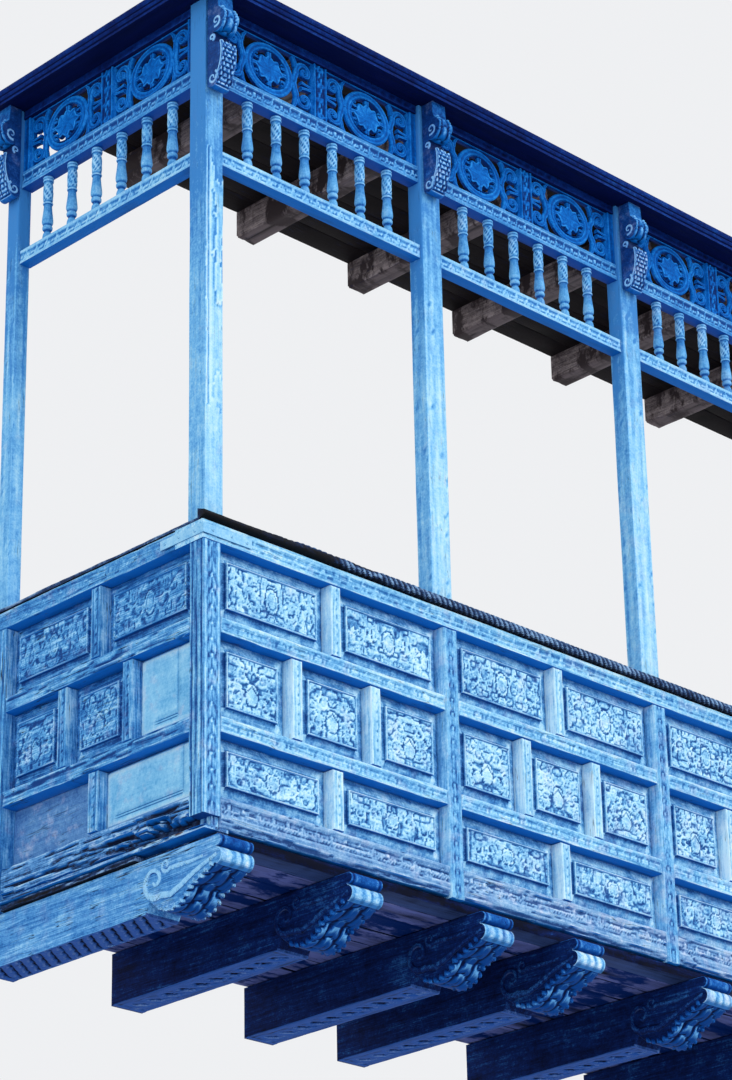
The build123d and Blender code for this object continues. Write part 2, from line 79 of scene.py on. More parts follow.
# Beams, floor and ceiling
BEAM_W, BEAM_TOP, BEAM_BOTTOM = 140.0, -40.0, -225.0
BEAM_SPACING = (FRONT_L - 40.0 - BEAM_W) / 7
BEAM_LEFTS = [20.0 + i * BEAM_SPACING + s for i, s in enumerate((0, -50, -50, -210, -145, -100, -50, 0))]
DECK_INSET = 100.0
CEILING_Z, JOIST_Z = 3135.0, 3015.0
JOISTS, JOIST_PITCH, JOIST_W, JOIST_H, JOIST_FRONT = 7, 610.0, 90.0, 120.0, 105.0

# All grids are this much coarser than their cells say, which keeps the scene under a million triangles
COARSER = 1.5

rng = np.random.default_rng(11)


# Numbers


def held(v):
    """The value kept between 0 and 1."""
    return np.clip(v, 0, 1)


def bell(v, width):
    """A soft bump of height 1 around 0."""
    return np.exp(-((v / width) ** 2))


def mound(v, width):
    """A round bump of height 1 around 0, which ends at the width."""
    return held(1 - (v / width) ** 2) ** 0.5


def normed(v):
    """Directions with a length of 1."""
    v = np.asarray(v, float)
    return v / np.maximum(np.linalg.norm(v, axis=-1, keepdims=True), 1e-6)


def turns(count):
    """Even angles around a circle."""
    return np.arange(count) * 2 * math.pi / count


def lattice(x, y, seed):
    """Smooth random values on a unit grid, from 0 to 1."""
    xi, yi = np.floor(x).astype(np.int64), np.floor(y).astype(np.int64)
    fx, fy = x - xi, y - yi
    fx, fy = fx * fx * (3 - 2 * fx), fy * fy * (3 - 2 * fy)

    def corner(i, j):
        n = (i * 374761393 + j * 668265263 + seed * 69069) & 0x7FFFFFFF
        n = ((n ^ (n >> 13)) * 1274126177) & 0x7FFFFFFF
        return ((n ^ (n >> 16)) & 0xFFFF) / 65535.0

    low = corner(xi, yi) * (1 - fx) + corner(xi + 1, yi) * fx
    high = corner(xi, yi + 1) * (1 - fx) + corner(xi + 1, yi + 1) * fx
    return low * (1 - fy) + high * fy


def noise(x, y, size_x, size_y, seed, octaves=2):
    """Rough random values from -1 to 1, with the size of their largest lumps."""
    total, weight = 0.0, 0.0
    for octave in range(octaves):
        k = 2.0**octave
        total = total + lattice(x * k / size_x + 31.7, y * k / size_y + 17.3, seed + octave) / k
        weight += 1 / k
    return 2 * total / weight - 1


def rubbed(x, y, size_x, size_y, seed, worn):
    """How much of a carving is left, from 1 down to 1 - worn."""
    return 1 - worn * (0.5 + 0.5 * noise(x, y, size_x, size_y, seed))


def smooth(z):
    """The surface with its small bumps averaged out."""
    for _ in range(2):
        p = np.pad(z, 1, mode="edge")
        z = (p[:-2, 1:-1] + p[2:, 1:-1] + p[1:-1, :-2] + p[1:-1, 2:] + 2 * z) / 6
    return z


def edge_wear(z, gain, tone=0.0):
    """Paler, worn paint where the surface stands out, and darker paint in its hollows, which is partly
    painted shade, plus a tone.
    """
    return np.clip((z - smooth(z)) * gain + tone, -1, 1)


# Meshes


class Piece:
    """One object of the scene, gathered from many parts, which stands for the solids of one node."""

    def __init__(self, name, node, *materials, slot="worn_paint"):
        self.name, self.slot, self.materials = name, slot, materials
        self.nodes = [node] if node else []
        self.verts, self.wear, self.grain = [], [], []
        self.faces, self.total = {}, 0

    def add(self, verts, faces, wear=None, grain=None, material=0):
        """Join one part: verts in millimetres, faces as arrays of corner numbers."""
        verts = np.asarray(verts, float).reshape(-1, 3)
        self.verts.append(verts)
        self.wear.append(np.zeros(len(verts)) if wear is None else np.ravel(wear))
        self.grain.append(verts * MM if grain is None else grain)
        self.fill(self.total, faces, material)
        self.total += len(verts)

    def fill(self, start, faces, material):
        """Add faces between points that are there already, the first of them at start."""
        for face in faces:
            face = np.atleast_2d(face)
            self.faces.setdefault((face.shape[-1], material), []).append(face + start)

    def build(self, angle=50):
        """Make the object, ride it on the frame and hide the solids that it stands for."""
        verts = np.concatenate(self.verts) * MM
        corners, sizes, kinds = [], [], []
        for (size, material), groups in self.faces.items():
            group = np.concatenate(groups)
            corners.append(group.ravel())
            sizes.append(np.full(len(group), size))
            kinds.append(np.full(len(group), material))
        corners, sizes, kinds = (np.concatenate(v).astype(np.int32) for v in (corners, sizes, kinds))
        mesh = bpy.data.meshes.new(self.name)
        mesh.vertices.add(len(verts))
        mesh.vertices.foreach_set("co", verts.astype(np.float32).ravel())
        mesh.loops.add(len(corners))
        mesh.loops.foreach_set("vertex_index", corners)
        mesh.polygons.add(len(sizes))
        mesh.polygons.foreach_set("loop_start", (np.cumsum(sizes) - sizes).astype(np.int32))
        mesh.polygons.foreach_set("loop_total", sizes)
        for material in self.materials:
            mesh.materials.append(material)
        mesh.polygons.foreach_set("material_index", kinds)
        mesh.update(calc_edges=True)
        mesh.polygons.foreach_set("use_smooth", np.ones(len(sizes), bool))
        mesh.set_sharp_from_angle(angle=math.radians(angle))
        for name, kind, field_name, values in (("wear", "FLOAT", "value", self.wear),
                                               ("grain", "FLOAT_VECTOR", "vector", self.grain)):
            data = mesh.attributes.new(name, kind, "POINT").data
            data.foreach_set(field_name, np.concatenate(values).astype(np.float32).ravel())
        obj = bpy.data.objects.new(self.name, mesh)
        bpy.context.scene.collection.objects.link(obj)
        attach(obj, "root")
        if self.nodes:
            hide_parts(*self.nodes)


def place(side, u, v, z):
    """A point on one face, with the ways along the face, up and out of it."""
    if side == "front":
        return np.array((LEFT_X + u, FRONT_Y + v, z)), X_AXIS, Z_AXIS, -Y_AXIS
    if side == "left":
        return np.array((LEFT_X + v, FRONT_Y + u, z)), -Y_AXIS, Z_AXIS, -X_AXIS
    return np.array((RIGHT_X - v, FRONT_Y + u, z)), Y_AXIS, Z_AXIS, X_AXIS


def set_in(at, *local):
    """Points of the frame from their distances along, up and out of a place."""
    origin, *ways = at
    return origin + sum(np.asarray(d)[..., None] * way for d, way in zip(local, ways))


def strewn(local):
    """Where a part lies in the grain of the wood: each part gets a spot of its own."""
    return local * MM + rng.uniform(-40, 40, 3)


def lines(width, cell, near):
    """Grid lines across a width: even ones, and the given distances from both edges."""
    cell = cell * COARSER
    half = width / 2
    fixed = sorted({d for d in near if d < half})
    start = fixed[-1] if fixed else 0.0
    inner = np.linspace(-half + start, half - start, max(2, int(round((width - 2 * start) / cell)) + 1))
    left = [-half + d for d in fixed[:-1]]
    return np.concatenate((left, inner, [-d for d in reversed(left)]))


def tiles(rows, cols, wrap_rows=False, wrap_cols=False):
    """The numbers of a grid of points and the squares between them; a wrapped way joins end and start."""
    n = np.arange(rows * cols).reshape(rows, cols)
    right = np.roll(n, -1, 1)
    squares = np.stack((n, right, np.roll(right, -1, 0), np.roll(n, -1, 0)), -1)
    squares = squares[:rows if wrap_rows else rows - 1, :cols if wrap_cols else cols - 1]
    return n, squares.reshape(-1, 4)


def capped(rows, cols):
    """The faces of a tube of rings of points, closed at both ends."""
    n, sides = tiles(rows, cols, wrap_cols=True)
    return [sides, n[0, ::-1], n[-1]]


def wavering(along, across, width, wobble):
    """The distances across a timber, pulled in near its edges by an amount that changes along it."""
    amount = wobble * (1 + noise(along + rng.uniform(0, 900), np.sign(across), 110, 5, 7, 3)) / 2
    return across - np.sign(across) * amount * held(np.abs(across) * 2 / width) ** 3


def slab(piece, at, size, relief, cell, edge, near=(), upright=False, material=0, gain=1.4, wobble=0.0):
    """A timber whose front has a relief; the front lies on the plane at, and size is width, height, depth.
    relief gives the height, or the height and how much paler the paint is there; wobble is how far the long
    edges waver inwards."""
    width, height, depth = size
    near = {0.0, edge * 0.35, edge, *near}
    x, y = np.meshgrid(lines(width, cell, near), lines(height, cell, near))
    z = relief(x, y)
    z, tone = z if isinstance(z, tuple) else (z, 0.0)
    border = np.minimum(width / 2 - np.abs(x), height / 2 - np.abs(y))
    inside = np.clip(edge - border, 0, edge)
    z = z - (edge - np.sqrt(np.clip(edge**2 - inside**2, 0, None)))
    # Paler where the relief stands out and darker in its hollows, the dark partly painted shade; rubbed edges
    # paler still
    wear = (z - smooth(z)) * gain
    wear = np.clip(np.where(wear > 0, 0.45 * wear, wear) + tone, -1, 1)
    wear = np.where(border < edge * 0.7, 0.42 + 0.45 * noise(x, y, 70, 40, 3, 3) + tone, wear)
    if upright:
        x = wavering(y, x, width, wobble)
    else:
        y = wavering(x, y, height, wobble)
    n, front = tiles(*x.shape)
    loop = np.concatenate((n[0, :-1], n[:-1, -1], n[-1, :0:-1], n[:0:-1, 0]))
    x, y, z = (np.concatenate((v.ravel(), v.ravel()[loop])) for v in (x, y, z))
    z[n.size:] = -depth
    wear = np.concatenate((wear.ravel(), np.full(len(loop), 0.05)))
    behind = n.size + np.arange(len(loop))
    sides = np.stack((loop, behind, np.roll(behind, -1), np.roll(loop, -1)), -1)
    grain = strewn(np.stack((y, x, z) if upright else (x, y, z), -1))
    piece.add(set_in(at, x, y, z), [front, sides, behind[::-1]], wear, grain, material)


def board(piece, side, us, zs, depth, relief, cell, edge, v=0.0, **look):
    """A slab on one face, between two distances along it and two heights, its front v behind the face."""
    at = place(side, sum(us) / 2, v, sum(zs) / 2)
    slab(piece, at, (us[1] - us[0], zs[1] - zs[0], depth), relief, cell, edge, **look)


def post(piece, low, size, zs, relief, cell, step, edge, face_shade=(0.0, 0.0, 0.0, 0.0)):
    """An upright timber from its front left corner: relief(face, a, z) moves the front, right, back and left
    faces outwards, and the face shade makes each of these faces paler or darker: painted light and shade."""
    corners = np.array(low) + np.array(((0, 0), (1, 0), (1, 1), (0, 1))) * size
    base, normal, faces, spots = [], [], [], []
    for face in range(4):
        a, b = corners[face], corners[(face + 1) % 4]
        length = np.abs(b - a).sum()
        way = (b - a) / length
        out = np.array((way[1], -way[0]))
        stops = np.linspace(edge, length - edge, max(2, int((length - 2 * edge) / (step * COARSER)) + 1))
        base += [a + way * d for d in stops] + [b - (way + out) * edge * 0.3]
        normal += [out] * len(stops) + [(out + way) / math.sqrt(2)]
        faces += [face] * (len(stops) + 1)
        spots += [d - length / 2 for d in stops] + [length / 2]
    a, z = np.meshgrid(spots, np.linspace(*zs, int((zs[1] - zs[0]) / (cell * COARSER)) + 1))
    faces = np.broadcast_to(faces, a.shape)
    move = relief(faces, a, z)
    xy = np.array(base) + np.array(normal) * move[..., None]
    verts = np.concatenate((xy, z[..., None]), -1).reshape(-1, 3)
    wear = edge_wear(move, 1.2, np.array(face_shade)[faces])
    piece.add(verts, capped(*a.shape), wear, strewn(verts[:, (2, 0, 1)]))


def lathe(profile, sides, carve=None):
    """A turned form around z: its points, its faces and its wear."""
    profile = np.array(profile, float)
    a, z = np.meshgrid(turns(sides), profile[:, 0])
    r = np.repeat(profile[:, 1:2], sides, 1)
    if carve:
        r = r + carve(a, z)
    verts = np.stack((r * np.cos(a), r * np.sin(a), z), -1).reshape(-1, 3)
    return verts, capped(*a.shape), edge_wear(r, 0.8, -0.08)


def sweep(piece, at, path, width, relief, kinds, step, gain=1.2, flank=0.0, bevel=2.0):
    """A form with a constant outline: path (out, up) runs around it, and width is measured across it.
    relief(s, t) gives how far the outline moves out and how much paler the paint is there, kinds the material
    of each stretch of the path, and flank how much paler the two flat sides are."""
    path = np.asarray(path, float)
    after = np.roll(path, -1, 0)
    way = normed(after - np.roll(path, 1, 0))
    normal = np.stack((way[:, 1], -way[:, 0]), -1)
    s = np.concatenate(([0], np.cumsum(np.linalg.norm(after - path, axis=1))[:-1]))
    half, inner = width / 2, width / 2 - bevel
    ts = np.concatenate(([-half], np.linspace(-inner, inner, max(2, int(width / step / COARSER))), [half]))
    tt, ss = np.meshgrid(ts, s)
    move, tone = relief(ss, tt)
    wear = edge_wear(move, gain, tone)
    for end in (0, -1):
        move[:, end] = np.minimum(move[:, end], 0) - bevel
    outs, ups = np.moveaxis(path[:, None] + normal[:, None] * move[..., None], -1, 0)
    verts = set_in(at, tt, ups, outs).reshape(-1, 3)
    grain = strewn(np.stack((outs, tt, ups), -1).reshape(-1, 3))
    n, faces = tiles(*ss.shape, wrap_rows=True)
    start = piece.total
    piece.add(verts, [], wear, grain)
    for kind in dict.fromkeys((kinds[0], *np.unique(kinds))):
        piece.fill(start, [faces[np.repeat(kinds, len(ts) - 1) == kind]], int(kind))
    for side in (n[::-1, 0], n[:, -1]):
        piece.add(verts[side], [np.arange(len(s))], np.full(len(s), flank), grain[side], int(kinds[0]))


def bar(piece, verts, wear=None, grain=None, mirrored=False):
    """A closed bar from rows of points that run along it, one row after the other around it."""
    n, faces = tiles(*verts.shape[:2], wrap_rows=True)
    faces = [faces, n[::-1, 0], n[:, -1]]
    piece.add(verts, [f[..., ::-1] for f in faces] if mirrored else faces, wear, grain)


def tube(piece, points, radii, out, rise, material=0, tone=0.0, sides=7):
    """A carved line along points of a face: out points out of it, and rise is its height for its width."""
    radii = np.broadcast_to(radii, len(points))[:, None, None]
    way = normed(np.gradient(points, axis=0))
    across = normed(np.cross(way, out))
    third = np.cross(across, way)
    a = turns(sides)
    verts = points[:, None] + radii * (
        np.cos(a)[None, :, None] * across[:, None] + rise * np.sin(a)[None, :, None] * third[:, None])
    high = np.sin(a)[None, :] * np.sign((third * out).sum(1))[:, None]
    piece.add(verts, capped(len(points), sides), np.clip(tone + 0.1 + 0.9 * high, -1, 1), None, material)


STRAP_SECTION = ((1, -0.5), (1, 0.5), (0.62, 1), (0, 0.86), (-0.62, 1), (-1, 0.5), (-1, -0.5), (-0.62, -1),
                 (0.62, -1))
STRAP_WEAR = (0.0, 0.35, 0.5, -0.25, 0.5, 0.35, 0.0, 0.1, 0.1)


def strap(piece, at, points, halves, thick, closed=False):
    """A flat sawn band with rounded edges along points of a plane; halves are its half widths."""
    points = np.asarray(points, float)
    halves = np.broadcast_to(halves, len(points))[:, None]
    way = np.roll(points, -1, 0) - np.roll(points, 1, 0) if closed else np.gradient(points, axis=0)
    way = normed(way)
    reach = np.stack((way[:, 1], -way[:, 0]), -1) * halves
    share, rise = np.transpose(STRAP_SECTION)
    across, up = np.moveaxis(points[:, None] + reach[:, None] * share[:, None], -1, 0)
    n, faces = tiles(*across.shape, wrap_rows=closed, wrap_cols=True)
    ends = [] if closed else [n[0, ::-1], n[-1]]
    verts = set_in(at, across, up, np.broadcast_to(rise * thick / 2, across.shape))
    piece.add(verts, [faces, *ends], np.tile(STRAP_WEAR, len(points)))


def plate(piece, at, outline, thick, bulge):
    """A carved leaf cluster: outline(angle) is its radius, and bulge(angle, share) its rise inwards."""
    a, share = np.meshgrid(turns(72), (1.0, 0.97, 0.9, 0.8, 0.68, 0.54, 0.4, 0.26, 0.12))
    r = outline(a)
    x, y = share * r * np.cos(a), share * r * np.sin(a)
    rise = np.where(share > 0.98, 0.5, np.where(share > 0.94, 0.86, 1.0)) * thick / 2
    level = bulge(a, share)
    verts = np.stack([set_in(at, x, y, height) for height in (rise + level, -rise)])
    n, top = tiles(*a.shape, wrap_cols=True)
    m = n + n.size
    rim = np.stack((m[0], np.roll(m[0], -1), np.roll(n[0], -1), n[0]), -1)
    wear = np.concatenate((edge_wear(level, 2, 0.1), np.zeros(a.shape)))
    piece.add(verts, [top, top[:, ::-1] + n.size, rim, n[-1], m[-1, ::-1]], wear)


def lobe(piece, centre, way, size, material=0, tone=0.0):
    """One rounded tip of a carved leaf: way is where it points, and size its length, width and thickness."""
    length, width, thick = size
    way = normed(way)
    side = normed(np.cross(way, (0.13, 0.21, 1.0)))
    a, b = np.meshgrid(turns(8), np.linspace(0.08, math.pi - 0.08, 7))
    swell = np.sin(b) * (1.0 + 0.35 * np.cos(b)) * (1 - 0.16 * np.cos(2 * a) ** 8)
    verts = set_in((centre, way, side, np.cross(way, side)),
                   np.cos(b) * length, swell * width * np.cos(a), swell * thick * np.sin(a))
    wear = np.clip(tone + 0.75 * np.cos(b), -1, 1)
    piece.add(verts, [face[..., ::-1] for face in capped(*a.shape)], wear, None, material)


# Carving


def stamp(h, x, y, points, radii, top):
    """Raise a rounded band along points."""
    for (px, py), r in zip(points, np.broadcast_to(radii, len(points))):
        d2 = (x - px) ** 2 + (y - py) ** 2
        np.maximum(h, top * np.sqrt(np.clip(1 - d2 / (r * r), 0, None)), out=h)


def leaf(h, x, y, px, py, angle, length, width, top):
    """Raise a pointed leaf with a sunk midrib."""
    c, s = math.cos(angle), math.sin(angle)
    a = ((x - px) * c + (y - py) * s) / length
    b = (-(x - px) * s + (y - py) * c) / width
    outline = 2 * np.sqrt(np.clip(a * (1 - a), 0, None)) * (1.25 - 0.5 * a)
    np.maximum(h, top * held((outline - np.abs(b)) * 2.6) * (1 - 0.55 * bell(b, 0.16)), out=h)


def spiral(cx, cy, r0, r1, start, turn, count=46):
    """Points of a scroll that winds from radius r0 to r1; its angles are in half turns."""
    k = np.linspace(0, 1, count)
    a, r = math.pi * (start + turn * k), r0 + (r1 - r0) * k**0.85
    return np.stack((cx + r * np.cos(a), cy + r * np.sin(a)), -1)


def leaves_along(h, x, y, points, every, length, width, top, side):
    """Leaves that spring from one side of a scroll."""
    for i in range(every, len(points) - 1, every):
        way = points[i + 1] - points[i - 1]
        angle = math.atan2(way[1], way[0]) + side * 0.9
        shrink = 1 - 0.45 * i / len(points)
        leaf(h, x, y, *points[i], angle, length * shrink, width * shrink, top)


def foliage(x, y, size, seed, top=5.0):
    """Mirrored leaves that fill the ground, parted by thin winding cuts."""
    ax = np.abs(x)
    lobes = noise(ax + 6 * noise(ax, y, 40, 40, seed + 2), y, size, size * 0.9, seed, 1)
    fold = bell(noise(ax, y, size * 0.5, size * 0.55, seed + 4, 1), 0.18)
    body = 1 - bell(lobes, 0.22)
    return top * body - 0.45 * top * fold * body + 0.25 * top * lobes


def wide_carving(x, y, hw, hh, seed):
    """Scrolls to both sides of a shield."""
    h = np.zeros(x.shape)
    ax, yy = np.abs(x), y * (1 if seed % 2 else -1)
    first = spiral(0.44 * hw, 0.10 * hh, 0.62 * hh, 0.12 * hh, 1.02, -2.2)
    second = spiral(0.80 * hw, -0.12 * hh, 0.56 * hh, 0.10 * hh, 0.85, 2.0)
    for line, way in ((first, 1), (second, -1)):
        stamp(h, ax, yy, line, np.linspace(6.6, 4.4, len(line)), 6.2)
        leaves_along(h, ax, yy, line, 6, 0.44 * hh, 8.0, 6.2, way)
    h = np.maximum(h, foliage(x, y, 27.0, seed))
    d = (ax / (0.15 * hw)) ** 2 + (yy / (0.60 * hh)) ** 2
    h = np.where((d > 1.0) & (d < 1.35), 0, h)
    return np.where(d <= 1.0, 6.0 - 2.5 * bell(np.sqrt(d) - 0.7, 0.07), h)


def upright_carving(x, y, hw, hh, seed):
    """An urn under a pair of ram's horns, among leaves."""
    h = np.zeros(x.shape)
    ax = np.abs(x)
    horn = spiral(0.46 * hw, 0.44 * hh, 0.27 * hw, 0.07 * hw, -0.75, 2.3)
    stem = np.stack((np.linspace(2, 0.27 * hw, 14), np.linspace(0.02 * hh, 0.31 * hh, 14)), -1)
    lower = spiral(0.66 * hw, -0.50 * hh, 0.30 * hw, 0.08 * hw, 0.75, -2.0)
    stamp(h, ax, y, stem, 6.5, 6.5)
    stamp(h, ax, y, horn, np.linspace(7.5, 5.0, len(horn)), 6.8)
    stamp(h, ax, y, lower, np.linspace(6.5, 4.4, len(lower)), 6.0)
    leaves_along(h, ax, y, horn, 7, 0.34 * hw, 8.0, 6.0, -1)
    leaves_along(h, ax, y, lower, 6, 0.30 * hw, 7.0, 6.0, 1)
    h = np.maximum(h, foliage(x, y, 28.0, seed))
    d = (x / (0.27 * hw)) ** 2 + ((y + 0.30 * hh) / (0.46 * hh)) ** 2
    h = np.where((d > 1.0) & (d < 1.25), 0, h)
    h = np.where(d <= 1.0, 6.5 * held(1.05 - d) ** 0.2, h)
    return np.where((np.abs(y - 0.02 * hh + 0.9 * ax) < 2.2) & (ax < 0.4 * hw), -0.5, h)


def field(width, height, kind, seed, worn):
    """The relief of one parapet panel, measured from the front of the frame."""
    line_right, line_left, line_up = (68, -0.40, 34) if width > 300 else (96, -0.2, 34)

    def relief(x, y):
        d = np.minimum(width / 2 - np.abs(x), height / 2 - np.abs(y))
        if kind == "bare":
            return -RECESS - 9 + 1.2 * noise(x, y, 130, 30, seed)
        if kind == "plain":
            right, low = width / 2 - line_right, -height / 2 + line_up
            line = bell(x - right, 2.0) * (y > low)
            for step in (0, 9):
                line = np.maximum(line, bell(y - low - step, 2.0) * (x < right) * (x > line_left * width))
            z = -RECESS + 12 * held(d / 14)
            return z - 3.5 * line + 0.7 * noise(x, y, 90, 14, seed, 3), -0.8 * line
        z = -RECESS + 14 * held(d / MARGIN) ** 1.2 + 0.7 * noise(x, y, 60, 20, seed)
        on = d >= MARGIN - 0.01
        bead = held(1 - np.abs((d - MARGIN - 3.5) / 4.5) ** 3)
        make = upright_carving if width < height * 1.35 else wide_carving
        lump = make(x, y, width / 2 - MARGIN - 12, height / 2 - MARGIN - 12, seed)
        lump = 0.9 * lump * held((d - MARGIN - 6) / 2)
        lump = lump * rubbed(x, y, 34, 34, seed + 5, worn) + 0.5 * noise(x, y, 9, 7, seed + 9)
        if kind == "part":
            lump = np.where(x > -width * 0.2, 6.5, lump)
        flat = -30.5 + lump + worn * 1.8 * noise(x, y, 160, 9, seed + 2, 3)
        z = np.where(on, np.maximum(flat, -31 + 7.5 * bead), z)
        mottle = 0.30 * noise(x, y, 46, 30, seed + 11, 3)
        # Painted shade: darker in the carving's cuts and paler on its raised parts, with a painted shadow
        # line along the field's left and bottom edges
        ground = np.where(on & (d > MARGIN + 8), np.clip((lump - 2.6) * 0.22, -0.55, 0.16), 0.0)
        shadow_line = -0.7 * bell(d - MARGIN + 4, 5.0) * ((x < 0) & (d > width / 2 + x - 1) | (y < 0))
        return z, ground + mottle + shadow_line

    return relief


def timber(seed, amount):
    """A plain worn surface with shallow furrows along its grain."""

    def relief(x, y):
        split = bell(noise(x, y, 460, 28, seed + 7, 3), 0.045)
        return amount * (noise(x, y, 260, 9, seed, 3) - 0.6 - 1.4 * split), -0.8 * split

    return relief


def fan_band(pitch, half, depth, seed, worn):
    """A running band of small fans of three leaves between two fillets."""

    def relief(x, y):
        p = ((x / pitch) % 1.0 - 0.5) * pitch
        h = np.zeros(np.broadcast(x, y).shape)
        for k in (-1, 0, 1):
            c, s = math.cos(0.85 * k), math.sin(0.85 * k)
            a = (p * s + (y + half * 0.9) * c) / (half * (1.75 - 0.35 * abs(k)))
            b = (p * c - (y + half * 0.9) * s) / (pitch * 0.16)
            outline = 2 * np.sqrt(np.clip(a * (1 - a), 0, None))
            h = np.maximum(h, held((outline - np.abs(b)) * 2.5) * (1 - 0.5 * bell(b, 0.2)))
        drop = np.hypot(np.abs(p) - pitch * 0.5, y + half * 0.25)
        h = np.maximum(h, mound(drop, pitch * 0.12))
        inside = held((1 - np.abs(y / half)) * 8)
        cut = -depth * inside * (1 - h * rubbed(x, y, 90, 40, seed, worn))
        return cut - 1.2 + 1.2 * noise(x, y, 220, 8, seed + 3, 3)

    return relief


def chevrons(seed, half, pitch=52.0):
    """Leaves stacked upwards between two broad smooth beads."""

    def relief(x, y):
        p = (y + np.abs(x) * 0.75) / pitch
        vee = np.abs((p % 1.0) - 0.5) * 2
        h = held(vee * 1.5 - 0.25) ** 0.7 * (1 - 0.5 * bell(x, 2.4))
        h = np.maximum(h, mound(np.hypot(x, ((y / pitch) % 1.0 - 0.35) * pitch), 8.0))
        inside = held((half * 0.50 - np.abs(x)) / 2.5)
        crown = 2.2 * held(1 - ((np.abs(x) - half * 0.76) / (half * 0.22)) ** 2) - 2.2
        crown = np.where(inside > 0, 0, crown)
        cut = -5.0 * inside * (1 - h * rubbed(x, y, 60, 120, seed, 0.8))
        return cut + crown - 0.8 + 0.8 * noise(y, x, 200, 8, seed + 3, 3)

    return relief


def vine(seed, half, rise=64):
    """A wavy stem with a flower at each turn between two beads, running upwards."""

    def relief(x, y):
        inner = half - 9
        h = mound(x - inner * 0.42 * np.sin(2 * np.pi * y / (2 * rise)), 4.2)
        from_middle = ((y / rise) % 1.0 - 0.5) * rise
        turn = np.where(np.floor(y / rise) % 2 == 0, -1.0, 1.0)
        across = x * turn - inner * 0.28
        curl = np.hypot(across, from_middle * 0.9)
        petals = 12.5 * (1 + 0.22 * np.cos(5 * np.arctan2(from_middle, across)))
        h = np.maximum(h, mound(curl, petals) * (1 - 0.5 * bell(curl, 3.5)))
        side = np.hypot((x * turn + inner * 0.62) / 1.2, from_middle)
        h = np.maximum(h, 0.8 * mound(side, 8.5))
        edge = held((half - 6 - np.abs(x)) / 2)
        cut = -5.5 * edge * (1 - h * rubbed(x, y, 60, 120, seed, 0.05))
        return cut - 0.6 + 0.6 * noise(y, x, 200, 8, seed + 3)

    return relief


# Materials


def srgb(*colour):
    """A colour given as the eye sees it, from 0 to 255."""
    def linear(v):
        v /= 255.0
        return v / 12.92 if v <= 0.04045 else ((v + 0.055) / 1.055) ** 2.4
    return (*(linear(v) for v in colour), 1.0)


class Nodes:
    """Short ways to add and join the nodes of a material or the world."""

    def __init__(self, owner):
        owner.use_nodes = True
        self.tree = owner.node_tree

    def new(self, kind, sockets=(), **values):
        node = self.tree.nodes.new(kind)
        for key, value in values.items():
            setattr(node, key, value)
        for key, value in dict(sockets).items():
            self.put(node.inputs[key], value)
        return node

    def put(self, socket, value):
        if hasattr(value, "is_output"):
            self.tree.links.new(value, socket)
        else:
            socket.default_value = value

    def math(self, operation, a, b=0.0, c=0.0, clamp=False):
        sockets = {0: a, 1: b, 2: c}
        return self.new("ShaderNodeMath", sockets, operation=operation, use_clamp=clamp).outputs[0]

    def scaled(self, value, factor):
        return self.math("MULTIPLY", value, factor)

    def vary(self, tone, value, amount, clamp=False):
        """The tone, made darker or paler by how far the value is from its middle."""
        return self.math("ADD", tone, self.scaled(self.math("SUBTRACT", value, 0.5), amount), clamp=clamp)

    def noise(self, vector, scale, detail=3.0, roughness=0.55):
        sockets = {"Vector": vector, "Scale": scale, "Detail": detail, "Roughness": roughness}
        return self.new("ShaderNodeTexNoise", sockets).outputs["Fac"]

    def stretch(self, vector, scale):
        return self.new("ShaderNodeMapping", {"Vector": vector, "Scale": scale}).outputs["Vector"]

    def ramp(self, value, stops):
        node = self.new("ShaderNodeValToRGB", {"Fac": value})
        elements = node.color_ramp.elements
        while len(elements) < len(stops):
            elements.new(0.5)
        for element, (position, colour) in zip(elements, stops):
            element.position, element.color = position, srgb(*colour)
        return node.outputs["Color"]

    def mix(self, factor, a, b):
        sockets = {"Factor": factor, "A": a, "B": b}
        return self.new("ShaderNodeMix", sockets, data_type="RGBA").outputs["Result"]

    def span(self, value, low, high):
        sockets = {"Value": value, "From Min": low, "From Max": high}
        return self.new("ShaderNodeMapRange", sockets, interpolation_type="SMOOTHSTEP").outputs["Result"]


# The painted shade on undersides: a saturated blue
SHADED_UNDERSIDE = (4, 104, 192)
CRACK = (10, 24, 58)
DUST_DARK, DUST_PALE = (84, 122, 180), (220, 224, 242)


